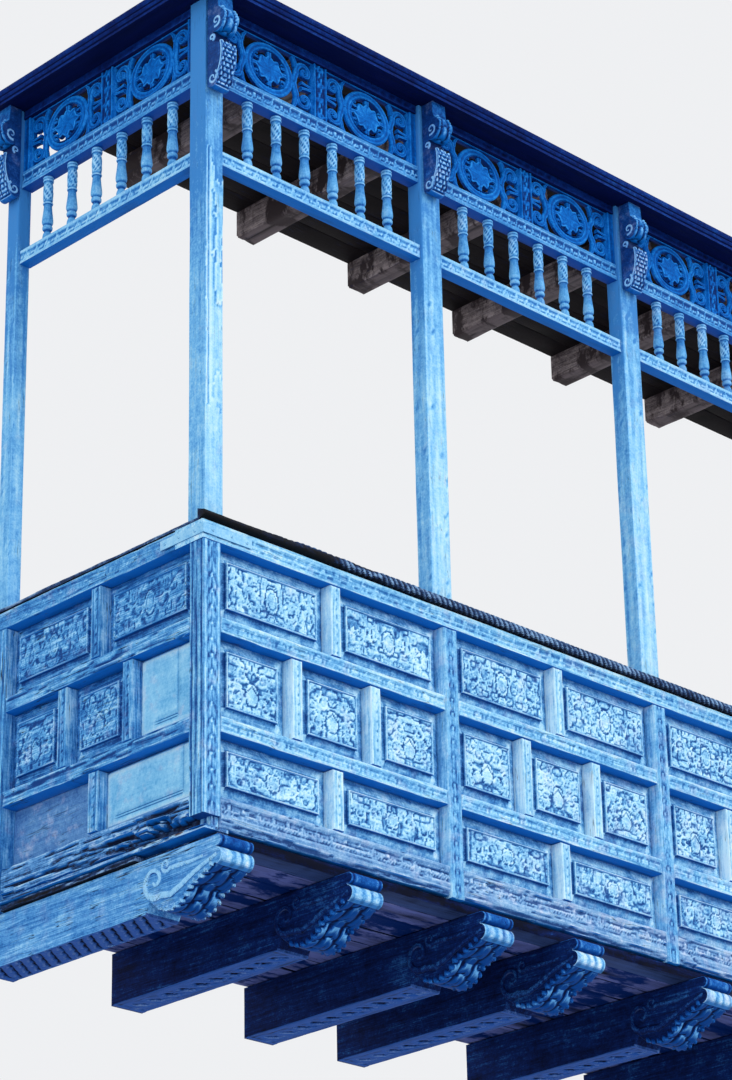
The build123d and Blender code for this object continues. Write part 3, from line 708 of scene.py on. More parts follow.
def paint(name, deep, mid, pale, bright, shaded_underside=SHADED_UNDERSIDE, bare=0.0, fibre=0.5, shift=0.0, wood=(96, 84, 84),
          cracks=0.6, blush=0.35, eave_shade=0.0, stain=None, mottled=0.45, gloss=0.13):
    """Weathered oil paint on timber: deep in the hollows, partly as painted shade, bleached on the edges,
    worn along the grain.
    bare is the share of lost paint, cracks and blush their strength, the eave shade darkens the top as
    painted shade under the eaves, and stain is the colour of large patches, mottled the strength of small
    ones, and gloss the sheen."""
    material = bpy.data.materials.new(name)
    n = Nodes(material)
    shader = n.tree.nodes["Principled BSDF"]
    grain = n.new("ShaderNodeAttribute", attribute_name="grain").outputs["Vector"]
    wear = n.new("ShaderNodeAttribute", attribute_name="wear").outputs["Fac"]
    spot = n.new("ShaderNodeTexCoord").outputs["Object"]
    way = n.new("ShaderNodeNewGeometry").outputs["True Normal"]
    spot_axes = n.new("ShaderNodeSeparateXYZ", {0: spot}).outputs
    facing_up = n.new("ShaderNodeSeparateXYZ", {0: way}).outputs["Z"]

    # Bleached and dark fibres, patches and specks
    fibres = n.noise(n.stretch(grain, (14, 330, 330)), 1.0, 4.0, 0.6)
    streaks = n.noise(n.stretch(grain, (3.2, 60, 60)), 1.0, 3.0, 0.6)
    blotches = n.noise(spot, 6.5, 4.0, 0.6)
    specks = n.noise(spot, 120.0, 4.0, 0.7)
    # The wear attribute darkens hollows as painted shade and makes worn crests paler
    tone = n.math("MULTIPLY_ADD", wear, 0.40, 0.5 + shift)
    tone = n.vary(tone, fibres, fibre)
    tone = n.vary(tone, streaks, fibre * 0.9)
    tone = n.vary(tone, blotches, 0.55)
    # Painted shade: darker towards the top, for the shade under the eaves
    if eave_shade:
        tone = n.math("SUBTRACT", tone, n.scaled(n.span(spot_axes["Z"], 1.7, 3.0), eave_shade))
    tone = n.vary(tone, n.noise(spot, 38.0, 4.0, 0.7), mottled)
    tone = n.vary(tone, specks, 0.55, clamp=True)
    colour = n.ramp(tone, [(0.14, deep), (0.38, mid), (0.60, pale), (0.84, bright)])

    # Dust, more of it to the right and low down
    dusty = n.noise(spot, 17.0, 4.0, 0.65)
    dusty = n.math("ADD", dusty, n.scaled(n.span(spot_axes["X"], 0.2, 3.2), 0.09))
    dusty = n.math("SUBTRACT", dusty, n.scaled(n.span(spot_axes["Z"], 0.1, 1.0), 0.04))
    dust = n.scaled(n.span(dusty, 0.50, 0.70), blush)
    colour = n.mix(dust, colour, n.ramp(tone, [(0.2, DUST_DARK), (0.8, DUST_PALE)]))

    # Painted shade: faces that look down take a deeper, more saturated blue
    under = n.span(n.scaled(facing_up, -1.0), 0.45, 0.85)
    cover = n.math("ADD", n.scaled(streaks, 0.6), n.scaled(blotches, 0.4))
    cover = n.math("MULTIPLY_ADD", wear, 0.45, cover)
    dark = tuple(v * 0.78 for v in shaded_underside)
    colour = n.mix(under, colour, n.ramp(cover, [(0.10, deep), (0.34, dark), (0.60, shaded_underside)]))

    # Stains and bare wood
    if stain:
        patch = n.noise(n.stretch(spot, (1.3, 3.2, 2.0)), 3.0, 5.0, 0.65)
        colour = n.mix(n.span(patch, 0.47, 0.56), colour, srgb(*stain))
    if bare:
        loss = n.math("ADD", n.scaled(streaks, 0.6), n.scaled(blotches, 0.5))
        loss = n.span(loss, 0.80 - bare * 0.25, 0.86 - bare * 0.25)
        loss = n.scaled(loss, n.math("MULTIPLY_ADD", under, -0.7, 1.0))
        light = tuple(min(255, v * 1.9) for v in wood)
        colour = n.mix(loss, colour, n.ramp(fibres, [(0.3, wood), (0.7, light)]))

    # Cracks along the grain
    split = n.noise(n.stretch(grain, (2.4, 46, 46)), 1.0, 2.0, 0.5)
    split = n.math("ABSOLUTE", n.math("SUBTRACT", split, 0.5))
    split = n.math("SUBTRACT", 1.0, n.span(split, 0.0, 0.014))
    split = n.scaled(n.scaled(split, n.span(blotches, 0.46, 0.60)), cracks)
    colour = n.mix(split, colour, srgb(*CRACK))

    height = n.math("ADD", n.scaled(fibres, 0.8), n.scaled(specks, 0.45))
    height = n.math("SUBTRACT", height, n.scaled(split, 1.6))
    bump = n.new("ShaderNodeBump", {"Strength": 0.55, "Distance": 0.0016, "Height": height})
    for socket, value in (("Base Color", colour), ("Roughness", n.math("MULTIPLY_ADD", specks, 0.25, 0.5)),
                          ("Specular IOR Level", gloss), ("Normal", bump.outputs["Normal"])):
        n.put(shader.inputs[socket], value)
    return material


# Each paint from its hollows to its edges, and then the painted shade on its undersides where that has its
# own colour
FRONT = paint("front_paint", (22, 92, 160), (84, 156, 212), (142, 204, 240), (206, 238, 252), fibre=0.7,
              shift=0.02)
FIELD = paint("field_paint", (8, 66, 134), (72, 142, 202), (150, 208, 240), (208, 242, 254), fibre=0.3,
              cracks=0.15, blush=0.3, shift=0.04, mottled=0.7)
PALE = paint("muntin_paint", (50, 124, 188), (116, 182, 226), (162, 214, 242), (208, 240, 252), fibre=0.9,
             shift=0.10, blush=0.18)
LOW = paint("low_paint", (24, 64, 122), (86, 138, 194), (138, 182, 222), (196, 220, 242), bare=0.16,
            fibre=0.6, cracks=0.9, blush=0.5, wood=(92, 92, 112))
ROTTEN = paint("rotten_paint", (14, 24, 52), (44, 104, 168), (92, 154, 212), (166, 208, 240), bare=0.3,
               fibre=1.2, cracks=1.0, blush=0.25, wood=(58, 44, 46))
SIDE = paint("side_paint", (8, 60, 128), (44, 118, 188), (90, 164, 220), (160, 212, 244), fibre=1.1,
             cracks=1.0, blush=0.3)
STILE = paint("stile_paint", (10, 66, 136), (66, 138, 202), (120, 188, 232), (178, 224, 248), fibre=0.8,
              cracks=0.7)
MEND = paint("mend_paint", (50, 124, 188), (104, 176, 222), (142, 202, 236), (180, 222, 242), fibre=0.25,
             cracks=0.0, blush=0.4)
OLD_BOARD = paint("old_board", (24, 62, 120), (60, 110, 172), (92, 144, 198), (140, 178, 212), fibre=0.4,
                  bare=0.2, wood=(84, 70, 80), blush=0.5)
# The posts darken towards the top: painted shade under the eaves
POST = paint("post_paint", (56, 130, 200), (110, 180, 230), (158, 212, 242), (196, 232, 250), fibre=0.35,
             shift=0.06, cracks=0.5, blush=0.2, eave_shade=0.45)
SILL_RAIL = paint("lower_rail_paint", (24, 104, 180), (96, 168, 224), (146, 204, 240), (190, 230, 250),
                  fibre=0.3, cracks=0.2, blush=0.25)
SCREEN = paint("screen_paint", (4, 62, 134), (30, 108, 182), (70, 148, 214), (136, 200, 246), (0, 70, 156),
               fibre=0.3, cracks=0.1, blush=0.0)
TURNED = paint("turned_paint", (6, 70, 146), (52, 130, 200), (104, 176, 228), (164, 214, 248), fibre=0.3,
               cracks=0.1, blush=0.15)
# Painted shade: the fretwork, and the cornice with the top screen rails, are painted deep and dark for the
# shade under the eaves
FRET = paint("fret_paint", (0, 36, 96), (0, 72, 150), (2, 102, 192), (40, 142, 226), (0, 44, 110), fibre=0.25,
             cracks=0.0, blush=0.0, gloss=0.05)
NAVY = paint("navy_paint", (2, 8, 36), (3, 24, 82), (6, 46, 122), (34, 92, 172), (3, 16, 66), fibre=0.25,
             blush=0.0, gloss=0.05)
ROPE = paint("rope_paint", (6, 8, 14), (12, 26, 52), (30, 62, 110), (130, 168, 208), (4, 12, 30), blush=0.0)
BEAM = paint("beam_paint", (12, 72, 138), (50, 122, 192), (92, 160, 218), (148, 204, 242), (0, 76, 156),
             fibre=1.0, cracks=1.0, blush=0.15)
# Painted shade: a dark navy for the inner beams and the set-back sill, which lie in shade under the balcony
SHADED = paint("shaded_paint", (3, 8, 30), (6, 22, 66), (10, 38, 98), (40, 96, 162), (50, 72, 124), fibre=0.7,
               blush=0.0, gloss=0.05)
HEAD = paint("head_paint", (0, 16, 58), (4, 52, 126), (24, 96, 178), (104, 176, 236), (0, 64, 140), fibre=0.2,
             cracks=0.0, blush=0.0, gloss=0.05)
ROLL = paint("roll_paint", (10, 84, 160), (72, 150, 214), (150, 206, 242), (226, 242, 252), (40, 116, 190),
             fibre=0.35, cracks=0.2, blush=0.4)
UNDER = paint("underside_paint", (2, 6, 30), (30, 62, 122), (50, 88, 158), (104, 134, 188), (32, 78, 156),
              fibre=0.8, cracks=0.8, blush=0.0, gloss=0.05)
# Painted shade: the consoles and their leaf tips are painted dark for the shade under the cornice
CONSOLE = paint("console_paint", (0, 34, 92), (14, 66, 136), (52, 112, 186), (136, 196, 244), fibre=0.25,
                cracks=0.0, blush=0.25)
LEAF = paint("leaf_paint", (0, 28, 78), (4, 66, 138), (36, 116, 192), (118, 188, 242), fibre=0.2, cracks=0.0,
             blush=0.0, gloss=0.05)
BOARDS = paint("floor_paint", (2, 6, 22), (20, 44, 96), (76, 90, 146), (122, 128, 176), (86, 98, 160),
               fibre=0.9, blush=0.0, stain=(0, 32, 92), gloss=0.05)
RAW = paint("raw_timber", (40, 32, 34), (78, 68, 70), (116, 104, 104), (160, 146, 144), (100, 88, 90),
            fibre=0.9, blush=0.0, stain=(54, 44, 46))
# Painted shade: the ceiling is near black for the shade inside the roof
CEILING = paint("ceiling_timber", (12, 10, 12), (22, 18, 20), (34, 28, 30), (52, 44, 44), (26, 21, 23),
                fibre=0.9, blush=0.0, gloss=0.05)
IRON = paint("strap_paint", (70, 140, 200), (120, 184, 228), (158, 210, 240), (196, 230, 250), (70, 140, 200),
             fibre=0.1, cracks=0.0)


# Parapet

PANEL_NEAR = (15.0, 30.0, MARGIN - 0.05, MARGIN + 0.6, MARGIN + 3.5, MARGIN + 7, MARGIN + 9)
PLAIN_NEAR = (14.0, 32.0, 34.0, 36.0, 41.0, 43.0, 45.0, 66.0, 68.0, 70.0, 94.0, 96.0, 98.0)
PLAIN_PAINTS = {"plain": 1, "bare": 2}


def openings(start, opening, count):
    """The stretches between the muntins of one row."""
    width = (opening - (count - 1) * MUNTIN_W) / count
    starts = [start + i * (width + MUNTIN_W) for i in range(count)]
    return [(u, u + width) for u in starts]


def panelling(piece, side, start, opening, special, seed, worn, cell):
    """All panels of one bay: special names those that aren't carved, by row and place, and worn is how far
    each row is worn away."""
    for row, (bottom, height, count) in enumerate(ROWS):
        for i, us in enumerate(openings(start, opening, count)):
            kind = special.get((row, i), "carved")
            relief = field(us[1] - us[0], height, kind, seed + 7 * row + i, worn[row])
            near = PLAIN_NEAR if kind in PLAIN_PAINTS else PANEL_NEAR
            board(piece, side, us, (bottom, bottom + height), PANEL_BACK, relief, cell, 0.5, near=near,
                  material=PLAIN_PAINTS.get(kind, 0), gain=0.6)
    piece.build()


for bay, start in enumerate(BAY_STARTS):
    piece = Piece(f"carved_panels_{bay + 1}", f"front_panels_{bay + 1}", FIELD)
    panelling(piece, "front", start, BAY_OPENING, {(1, 0): "part"} if bay == BAYS - 1 else {}, 20 + 31 * bay,
              (0.5, 0.15, 0.25), 3.8)
MENDED = {(0, 0): "plain", (0, 1): "bare", (1, 0): "plain"}
for side, special, cell in (("left", MENDED, 4.0), ("right", {}, 7.0)):
    piece = Piece(f"{side}_carved_panels", f"{side}_panels", SIDE, MEND, OLD_BOARD)
    panelling(piece, side, CORNER_D, SIDE_OPENING, special, 300 + len(side), (0.3, 0.35, 0.5), cell)

piece = Piece("carved_stiles", "front_stiles", STILE)
for i, u in enumerate(STILE_US):
    board(piece, "front", (u - STILE_W / 2, u + STILE_W / 2), (0.0, TOP_RAIL_Z), FRAME_T,
          chevrons(40 + i, STILE_W / 2), 4.2, 5.0, upright=True, gain=0.6, wobble=4.0)
piece.build()

corner_carving = chevrons(60, 38.0, 56.0)


def corner_relief(faces, a, z):
    """The corner stile: stacked leaves on its front, beads and furrows on the others."""
    plain = 2.2 * noise(z, a, 240, 8, 64, 3) - 2.6 * bell(np.abs(a) - 22, 2.5) - 1.8
    return np.where(faces == 0, 0.6 * corner_carving(a, z) - 0.5, plain)


FOOT_H, FOOT_IN_X, FOOT_IN_Y = 40.0, 46.0, 12.0
piece = Piece("carved_corner_stiles", "corner_stiles", STILE)
# The last numbers are painted shade on the corner stiles' faces, the sides darker than the front
for x0, foot in ((LEFT_X, FOOT_H), (RIGHT_X - CORNER_W, 0.0)):
    post(piece, (x0, FRONT_Y), (CORNER_W, CORNER_D), (foot, TOP_RAIL_Z), corner_relief, 5.2, 4.8, 4.0,
         (-0.15, -0.3, 0, -0.4))
    if foot:
        size = (CORNER_W - FOOT_IN_X, CORNER_D - FOOT_IN_Y)
        post(piece, (x0 + FOOT_IN_X, FRONT_Y + FOOT_IN_Y), size, (0, foot),
             lambda f, a, z: 2.5 * noise(z, a, 30, 9, 61, 3) - 2.5, 5.0, 5.0, 4.0)
piece.build()

piece = Piece("worn_wall_stiles", "wall_stiles", SIDE)
for x0 in (LEFT_X, RIGHT_X - FRAME_T):
    post(piece, (x0, -WALL_STILE_W), (FRAME_T, WALL_STILE_W), (BEAM_TOP, TOP_RAIL_Z),
         lambda f, a, z: 1.2 * noise(z, a, 260, 9, 77, 3) - 1.2, 12.0, 6.0, 3.0)
piece.build()

MID_RAILS = [(z - MID_RAIL_H, z) for z in ROW_BOTTOMS[1:]]
BOTTOM_RAIL = (0.0, ROW_BOTTOMS[0])
piece = Piece("carved_mid_rails", "front_mid_rails", FRONT)
for bay, start in enumerate(BAY_STARTS):
    for row, zs in enumerate(MID_RAILS):
        band = fan_band(56, 17, 3.6, 91 + bay + row, 0.75)
        board(piece, "front", (start, start + BAY_OPENING), zs, FRAME_T, band,
              5.6, 7.0, gain=0.65, wobble=6.0)
piece.build()


def eroded(seed):
    """A bottom rail: a worn band over furrows, with bites out of its lower edge."""
    band = fan_band(64, 24, 5.5, seed, 0.5)

    def relief(x, y):
        fade = held((y + 12) / 14)
        ragged = 3.0 * noise(x, y, 300, 9, seed + 5, 3) - 3.0
        bites = 9 * held((-y - 36 + 18 * noise(x, y, 170, 13, seed + 8, 3)) / 14)
        split = bell(noise(x, y, 380, 22, seed + 11, 3), 0.035)
        z = band(x, y - 16) * fade + ragged * (1 - 0.6 * fade) - bites - 5 * split
        return z, -bites / 20 - 0.8 * split

    return relief


piece = Piece("carved_bottom_rails", "front_bottom_rails", LOW)
for bay, start in enumerate(BAY_STARTS):
    board(piece, "front", (start, start + BAY_OPENING), BOTTOM_RAIL, FRAME_T, eroded(130 + bay), 4.6, 5.0,
          gain=0.62, wobble=9.0)
piece.build()


def fluted(seed):
    """A muntin: two flutes, a row of dents and furrows along its grain."""

    def relief(x, y):
        flutes = -2.2 * bell(np.abs(x) - 13, 2.6)
        dents = -2.4 * held(1 - (np.hypot(x - 2, ((y / 33) % 1.0 - 0.5) * 33) / 6.5) ** 2)
        return flutes + dents + 1.8 * noise(y, x, 150, 8, seed, 3) - 1.8, dents * 0.2

    return relief


for side in ("front", *SIDES):
    starts, opening = (BAY_STARTS, BAY_OPENING) if side == "front" else ([CORNER_D], SIDE_OPENING)
    piece = Piece(f"worn_{side}_muntins", f"{side}_muntins", PALE if side == "front" else SIDE)
    for start in starts:
        for bottom, height, count in ROWS:
            for _, end in openings(start, opening, count)[:-1]:
                at = place(side, end + MUNTIN_W / 2, 0, bottom + height / 2)
                slab(piece, at, (MUNTIN_W, height, FRAME_T), fluted(int(rng.integers(1000))), 5.6, 5.0,
                     upright=True, gain=0.6, wobble=3.0)
    piece.build()


def rotten(lost):
    """A side's bottom rail: cracked and ragged, and where lost is 1 eaten away towards the corner."""

    def relief(x, y):
        near = held((x - SIDE_OPENING / 2 + 420) / 260) * lost
        ragged = 4.5 * noise(x, y, 260, 10, 161, 3) - 4.5
        bite = 42 * near * held((2 - y + 64 * noise(x, y, 80, 22, 163, 3)) / 12)
        gouge = 10 * held((noise(x, y, 240, 16, 167, 3) - 0.25) / 0.15) * lost
        crack = bell(noise(x, y, 420, 30, 171, 3), 0.06) * (0.4 + 0.6 * lost)
        return ragged - bite - gouge - 9 * crack, -0.9 * crack - bite / 34 - gouge / 20

    return relief


for side in SIDES:
    piece = Piece(f"worn_{side}_rails", f"{side}_rails", SIDE, ROTTEN)
    us = (CORNER_D, CORNER_D + SIDE_OPENING)
    for row, zs in enumerate(MID_RAILS):
        board(piece, side, us, zs, FRAME_T, timber(151 + row, 4.0), 6.0, 7.0, gain=0.6, wobble=7.0)
    board(piece, side, us, BOTTOM_RAIL, FRAME_T, rotten(1.0 if side == "left" else 0.0), 4.6, 6.0, material=1,
          gain=0.45, wobble=12.0)
    piece.build()

# Top rails, and the planks on the side ones
PLANK_W, PLANK_T, PLANK_START = 30.0, 16.0, 30.0
piece = Piece("carved_top_rail", "front_top_rail", FRONT)
board(piece, "front", (0.0, FRONT_L), (TOP_RAIL_Z, POST_Z), TOP_RAIL_D, fan_band(62, 22, 4.2, 200, 0.75),
      6.0, 5.0, gain=0.6, wobble=3.0)
piece.build()
for side in SIDES:
    piece = Piece(f"worn_{side}_top_rail", f"{side}_top_rail", SIDE)
    board(piece, side, (TOP_RAIL_D, DEPTH), (TOP_RAIL_Z, POST_Z), TOP_RAIL_D,
          fan_band(66, 24, 3.6, 210, 1.0), 5.0, 6.0, gain=0.5, wobble=6.0)
    piece.build()
    piece = Piece(f"broken_{side}_plank", f"{side}_cap_plank", ROPE, slot="dark_paint")
    origin, along, up, out = place(side, (PLANK_START + DEPTH) / 2, PLANK_W / 2, POST_Z + PLANK_T)
    slab(piece, (origin, along, -out, up), (DEPTH - PLANK_START, PLANK_W, PLANK_T),
         lambda x, y: np.minimum(0, 5 * noise(x, y, 120, 40, 222, 3) - 4), 7.0, 2.0)
    piece.build()

# Rope moulding along the top rail, worn away near the left corner
ROPE_R, ROPE_PITCH, ROPE_BACK = 20.0, 26.0, 30.0
ROPE_MIDDLE, ROPE_TOP = 21.0, 42.0
uu, aa = np.meshgrid(np.linspace(0, FRONT_L, 820), np.linspace(-0.5 * math.pi, 0.5 * math.pi, 10))
left_over = held((uu - 300) / 500 + 0.9 * noise(uu, aa * 30, 120, 60, 240))
twist = np.abs(np.sin(np.pi * (uu / ROPE_PITCH + aa * 0.42))) ** 0.6
rough = 0.93 + 0.07 * noise(uu, aa * 20, 30, 20, 243, 3)
radius = ROPE_R * (0.62 + 0.38 * twist * left_over) * (0.80 + 0.20 * left_over) * rough
back = np.ones((2, uu.shape[1]))
verts = set_in(place("front", 0, 0, POST_Z), np.concatenate((uu, uu[:2])),
               np.concatenate((ROPE_MIDDLE + radius * 1.02 * np.sin(aa), back * [[ROPE_TOP], [0]])),
               np.concatenate((radius * np.cos(aa) * 0.9, -ROPE_BACK * back)))
piece = Piece("rope_moulding", "front_moulding", ROPE, slot="dark_paint")
bar(piece, verts, np.concatenate((np.clip((radius - 15.5) / 5, -0.9, 0.7), 0 * back)))
piece.build(60)

# Posts


def corner_post(faces, a, z):
    """Old paint that lifts on the upper front, beside a bead along its left edge."""
    on = (faces == 0) & (z < 2500)
    lifted = 2.6 * (noise(z, a, 120, 34, 254, 3) > 0.08) * held((z - 1350) / 500)
    edge = a + 30 + 5 * noise(z, z * 0, 160, 9, 257, 3)
    bead = 3.0 * held(1 - (edge / 4.5) ** 2) - 8.0 * bell(edge - 7.5, 3.2)
    worn_face = 0.9 * noise(z, a, 260, 16, 251, 3) - 3.4
    return worn_face + np.where(on, lifted + bead * (z > 1500), 1.6 * (faces != 0))


def flaking(seed):
    """Old paint that has come off in small scales, on all faces but the back."""

    def relief(faces, a, z):
        pits = held(noise(z, a, 26, 12, seed + 3, 2) - 0.62) * 12
        return noise(z, a, 300, 14, seed, 3) - 1.2 - 0.7 * pits * (faces != 2)

    return relief


# The last numbers of each post are painted light and shade on its faces: the sides, and all faces of the wall
# posts, darker
POST_ZS, POST_FRONT = (POST_Z, CORNICE_Z), FRONT_Y + SETBACK
piece = Piece("painted_corner_posts", "corner_posts", POST, slot="light_paint")
for x0 in (LEFT_X + SETBACK, RIGHT_X - SETBACK - CORNER_POST):
    post(piece, (x0, POST_FRONT), (CORNER_POST, CORNER_POST), POST_ZS, corner_post, 6.5, 4.8, 4.0,
         (0.05, -0.3, 0, -0.42))
piece.build()
piece = Piece("painted_front_posts", "front_posts", POST, slot="light_paint")
for i, u in enumerate(STILE_US):
    post(piece, (LEFT_X + u - POST_W / 2, POST_FRONT), (POST_W, POST_D), POST_ZS, flaking(260 + i),
         12.0, 8.0, 5.0, (0.05, -0.3, 0, -0.45))
piece.build()
piece = Piece("painted_wall_posts", "wall_posts", POST, slot="light_paint")
for x0 in (LEFT_X + SETBACK, RIGHT_X - SETBACK - WALL_POST_W):
    post(piece, (x0, -WALL_POST_D), (WALL_POST_W, WALL_POST_D), POST_ZS, flaking(270), 12.0, 7.0, 5.0,
         (-0.4, -0.4, 0, -0.4))
piece.build()

# Screen: name, node, heights, pitch, half width and depth of its band, strength of its wear, cell, paint
for name, node, zs, band, gain, cell, colour in (
    ("carved_lower_rails", "lower_screen_rails", (LOWER_Z, BALUSTER_Z), (58, 17, 3.6), 0.8, 4.6, SILL_RAIL),
    ("carved_upper_rails", "upper_screen_rails", (UPPER_Z, FRET_Z), (44, 18, 6.0), 1.0, 4.4, SCREEN),
    ("navy_screen_rails", "top_screen_rails", (TOP_Z, CORNICE_Z), (40, 10, 2.0), 0.5, 9.0, NAVY),
):
    piece = Piece(name, node, colour)
    for k, (side, us) in enumerate(SCREEN_BAYS):
        board(piece, side, us, zs, 50.0, fan_band(*band, 280 + k, 0.4), cell, 3.0, SCREEN_FRONT, gain=gain,
              wobble=1.5)
    piece.build()

# The turned balusters, as height and radius
BALUSTER = ((0, 18), (8, 18), (16, 17.3), (22, 16), (28, 13.5), (32, 11.5), (35, 12), (38, 15.5), (41, 18),
            (45, 19), (50, 19), (54, 17.6), (57, 15.8), (60, 16.5), (64, 19), (69, 20.6), (75, 21),
            (83, 20.6), (95, 19.4), (110, 17.6), (126, 16), (140, 15), (144, 15.2), (146, 18), (149, 19),
            (152, 18.6), (154, 16.5), (158, 16.4), (162, 17.6), (168, 18.4), (176, 18.8), (186, 18.9),
            (196, 18.9), (206, 18.8), (216, 18.4), (224, 17.8), (230, 16.8), (234, 16), (238, 16.4),
            (240, 19), (244, 20), (248, 19.4), (250, 17.8), (252, 19.4), (256, 20), (259, 19), (261, 18))


def scales(a, z):
    """Crossing spiral cuts that leave small leaves on the upper part."""
    on = held((z - 158) / 4) * held((232 - z) / 4)
    first = held(0.45 - np.abs(np.sin(2.5 * a + z * 0.085))) / 0.45
    second = held(0.30 - np.abs(np.sin(3 * a - z * 0.12))) / 0.30
    return -on * (4.2 * first + 2.4 * second)


turned, turned_faces, turned_wear = lathe(BALUSTER, 18, scales)
for side in ("front", *SIDES):
    piece = Piece(f"turned_{side}_balusters", f"{side}_balusters", TURNED)
    for us in [us for s, us in SCREEN_BAYS if s == side]:
        first = (sum(us) - (BALUSTERS - 1) * BALUSTER_PITCH) / 2
        for i in range(BALUSTERS):
            origin = place(side, first + i * BALUSTER_PITCH, SCREEN_V, BALUSTER_Z)[0]
            angle = rng.uniform(0, 6.28)
            c, s = math.cos(angle), math.sin(angle)
            spun = turned @ np.array(((c, s, 0), (-s, c, 0), (0, 0, 1)))
            piece.add(spun + origin, turned_faces, turned_wear, strewn(spun[:, (2, 0, 1)]))
    piece.build(60)

# Pierced panels
FRET_H, FRET_T, FRET_BORDER, FRET_POST = TOP_Z - FRET_Z, 20.0, 9.0, 30.0
RING_X, RING_BAR = 102.0, 15.5


def oval(rx, ry, count):
    """Points around an oval, the last one left out."""
    return np.stack((rx * np.cos(turns(count)), ry * np.sin(turns(count))), -1)


def cluster(a):
    """The edge of the leaf cluster in the ring of a pierced panel."""
    return (64 - 10 * np.sin(a) ** 2) * (1 + 0.09 * np.cos(8 * a) + 0.04 * np.cos(14 * a + 0.6))


def veins(a, share):
    """Folds that run from the middle of the cluster to its tips."""
    swirl = np.abs(np.cos(4 * a + 2 * share)) ** 0.4
    return 1.8 * (1 - share) + 1.6 * swirl * share * (share < 0.95)


def quarter(half_w, half_h):
    """The straps in one quarter of a pierced panel, each as its points and its half widths."""
    x, y = half_w - 33, half_h * 0.56
    stem = ((121, 0), (125, 12), (128, 26), (x - 37, y - 16))
    yield (np.concatenate((stem, spiral(x, y, 36, 7, 0.99, -2.5, 22))),
           np.concatenate(((13, 12.5, 12, 12), np.linspace(12, 6, 22))))
    yield spiral(x, y, 9, 3, 0, -2, 12), 4.0
    yield ((x - 14, 12), (half_w - 30, 9), (half_w + 2, 5)), (9.0, 7.0, 9.0)
    yield ((x - 40, y + 8), (x - 46, half_h - 12), (x - 58, half_h + 3)), (10.0, 8.0, 6.0)
    yield spiral(66, 40, 15, 4, -0.75, 1.8, 18), np.linspace(7.0, 4.5, 18)


def pierced(piece, at, width):
    """One pierced panel: a ring around a leaf cluster, with two scrolls in each corner and a thin border."""
    half_w, half_h = width / 2 - FRET_BORDER, FRET_H / 2 - FRET_BORDER
    strap(piece, at, oval(RING_X, half_h - RING_BAR + 1, 36), RING_BAR, FRET_T, closed=True)
    strap(piece, at, oval(RING_X - RING_BAR - 1, half_h - 2 * RING_BAR, 28), 2.2, FRET_T + 3, closed=True)
    plate(piece, at, cluster, FRET_T - 3, veins)
    for sx in (1, -1):
        strap(piece, at, ((sx * 44, 0), (sx * 70, 3), (sx * 95, 0)), (15, 10, 13), FRET_T - 1.5)
        edge = sx * (half_w + FRET_BORDER / 2)
        strap(piece, at, ((edge, -FRET_H / 2), (edge, FRET_H / 2)), FRET_BORDER / 2, FRET_T - 2)
        for sy in (1, -1):
            for points, halves in quarter(half_w, half_h):
                strap(piece, at, np.array(points) * (sx, sy), halves, FRET_T - 0.7 * (1 + (sx * sy > 0)))
    for sy in (1, -1):
        strap(piece, at, ((0, sy * 30), (2, sy * 55), (0, sy * 84)), (16, 9, 13), FRET_T - 1.1)
        edge = sy * (half_h + FRET_BORDER / 2)
        strap(piece, at, ((-half_w, edge), (half_w, edge)), FRET_BORDER / 2, FRET_T - 2.6)


for side in ("front", *SIDES):
    piece = Piece(f"pierced_{side}_panels", f"{side}_fretwork", FRET, slot="screen_paint")
    for u0, u1 in [us for s, us in SCREEN_BAYS if s == side]:
        middle = (u0 + u1) / 2
        for a, b in ((u0 + FRET_POST, middle - FRET_POST), (middle + FRET_POST, u1 - FRET_POST)):
            pierced(piece, place(side, (a + b) / 2, SCREEN_V, FRET_Z + FRET_H / 2), b - a)
    piece.build(40)

piece = Piece("carved_fret_uprights", "fretwork_uprights", FRET, slot="screen_paint")
for k, (side, (u0, u1)) in enumerate(SCREEN_BAYS):
    middle = (u0 + u1) / 2
    for us, relief in (((u0, u0 + FRET_POST), None), ((u1 - FRET_POST, u1), None),
                       ((middle - FRET_POST, middle + FRET_POST), vine(320 + k, FRET_POST))):
        relief = relief or (lambda x, y: -3.5 * (np.abs(x) < 4.5) - 1.5 * (np.abs(x) > 11))
        board(piece, side, us, (FRET_Z, TOP_Z), 40.0, relief, 5.0, 2.5, SCREEN_V - 20, upright=True, gain=0.7)
piece.build()

# Consoles: out from the post and up from the foot


def arc3(a, b, c, count):
    """Points on the circle through three points, from a to c."""
    ax, ay, bx, by, cx, cy = *a, *b, *c
    d = 2 * (ax * (by - cy) + bx * (cy - ay) + cx * (ay - by))
    ux = ((ax**2 + ay**2) * (by - cy) + (bx**2 + by**2) * (cy - ay) + (cx**2 + cy**2) * (ay - by)) / d
    uy = ((ax**2 + ay**2) * (cx - bx) + (bx**2 + by**2) * (ax - cx) + (cx**2 + cy**2) * (bx - ax)) / d
    r = math.hypot(ax - ux, ay - uy)
    a0, a1, a2 = (math.atan2(p[1] - uy, p[0] - ux) for p in (a, b, c))
    angle = (a2 - a0) % (2 * math.pi)
    if (a1 - a0) % (2 * math.pi) > angle:
        angle -= 2 * math.pi
    t = a0 + angle * np.linspace(0, 1, count)
    return [(ux + r * math.cos(v), uy + r * math.sin(v)) for v in t]


def straight(a, b, count):
    """Evenly spaced points from a to b, both included."""
    return [tuple(np.array(a) + (np.array(b) - np.array(a)) * k) for k in np.linspace(0, 1, count)]


def closed_path(*stretches):
    """A closed path from stretches whose ends meet, and the number of the first point of each."""
    path, starts = [], []
    for stretch in stretches:
        starts.append(len(path))
        path += stretch[:-1]
    return path, starts


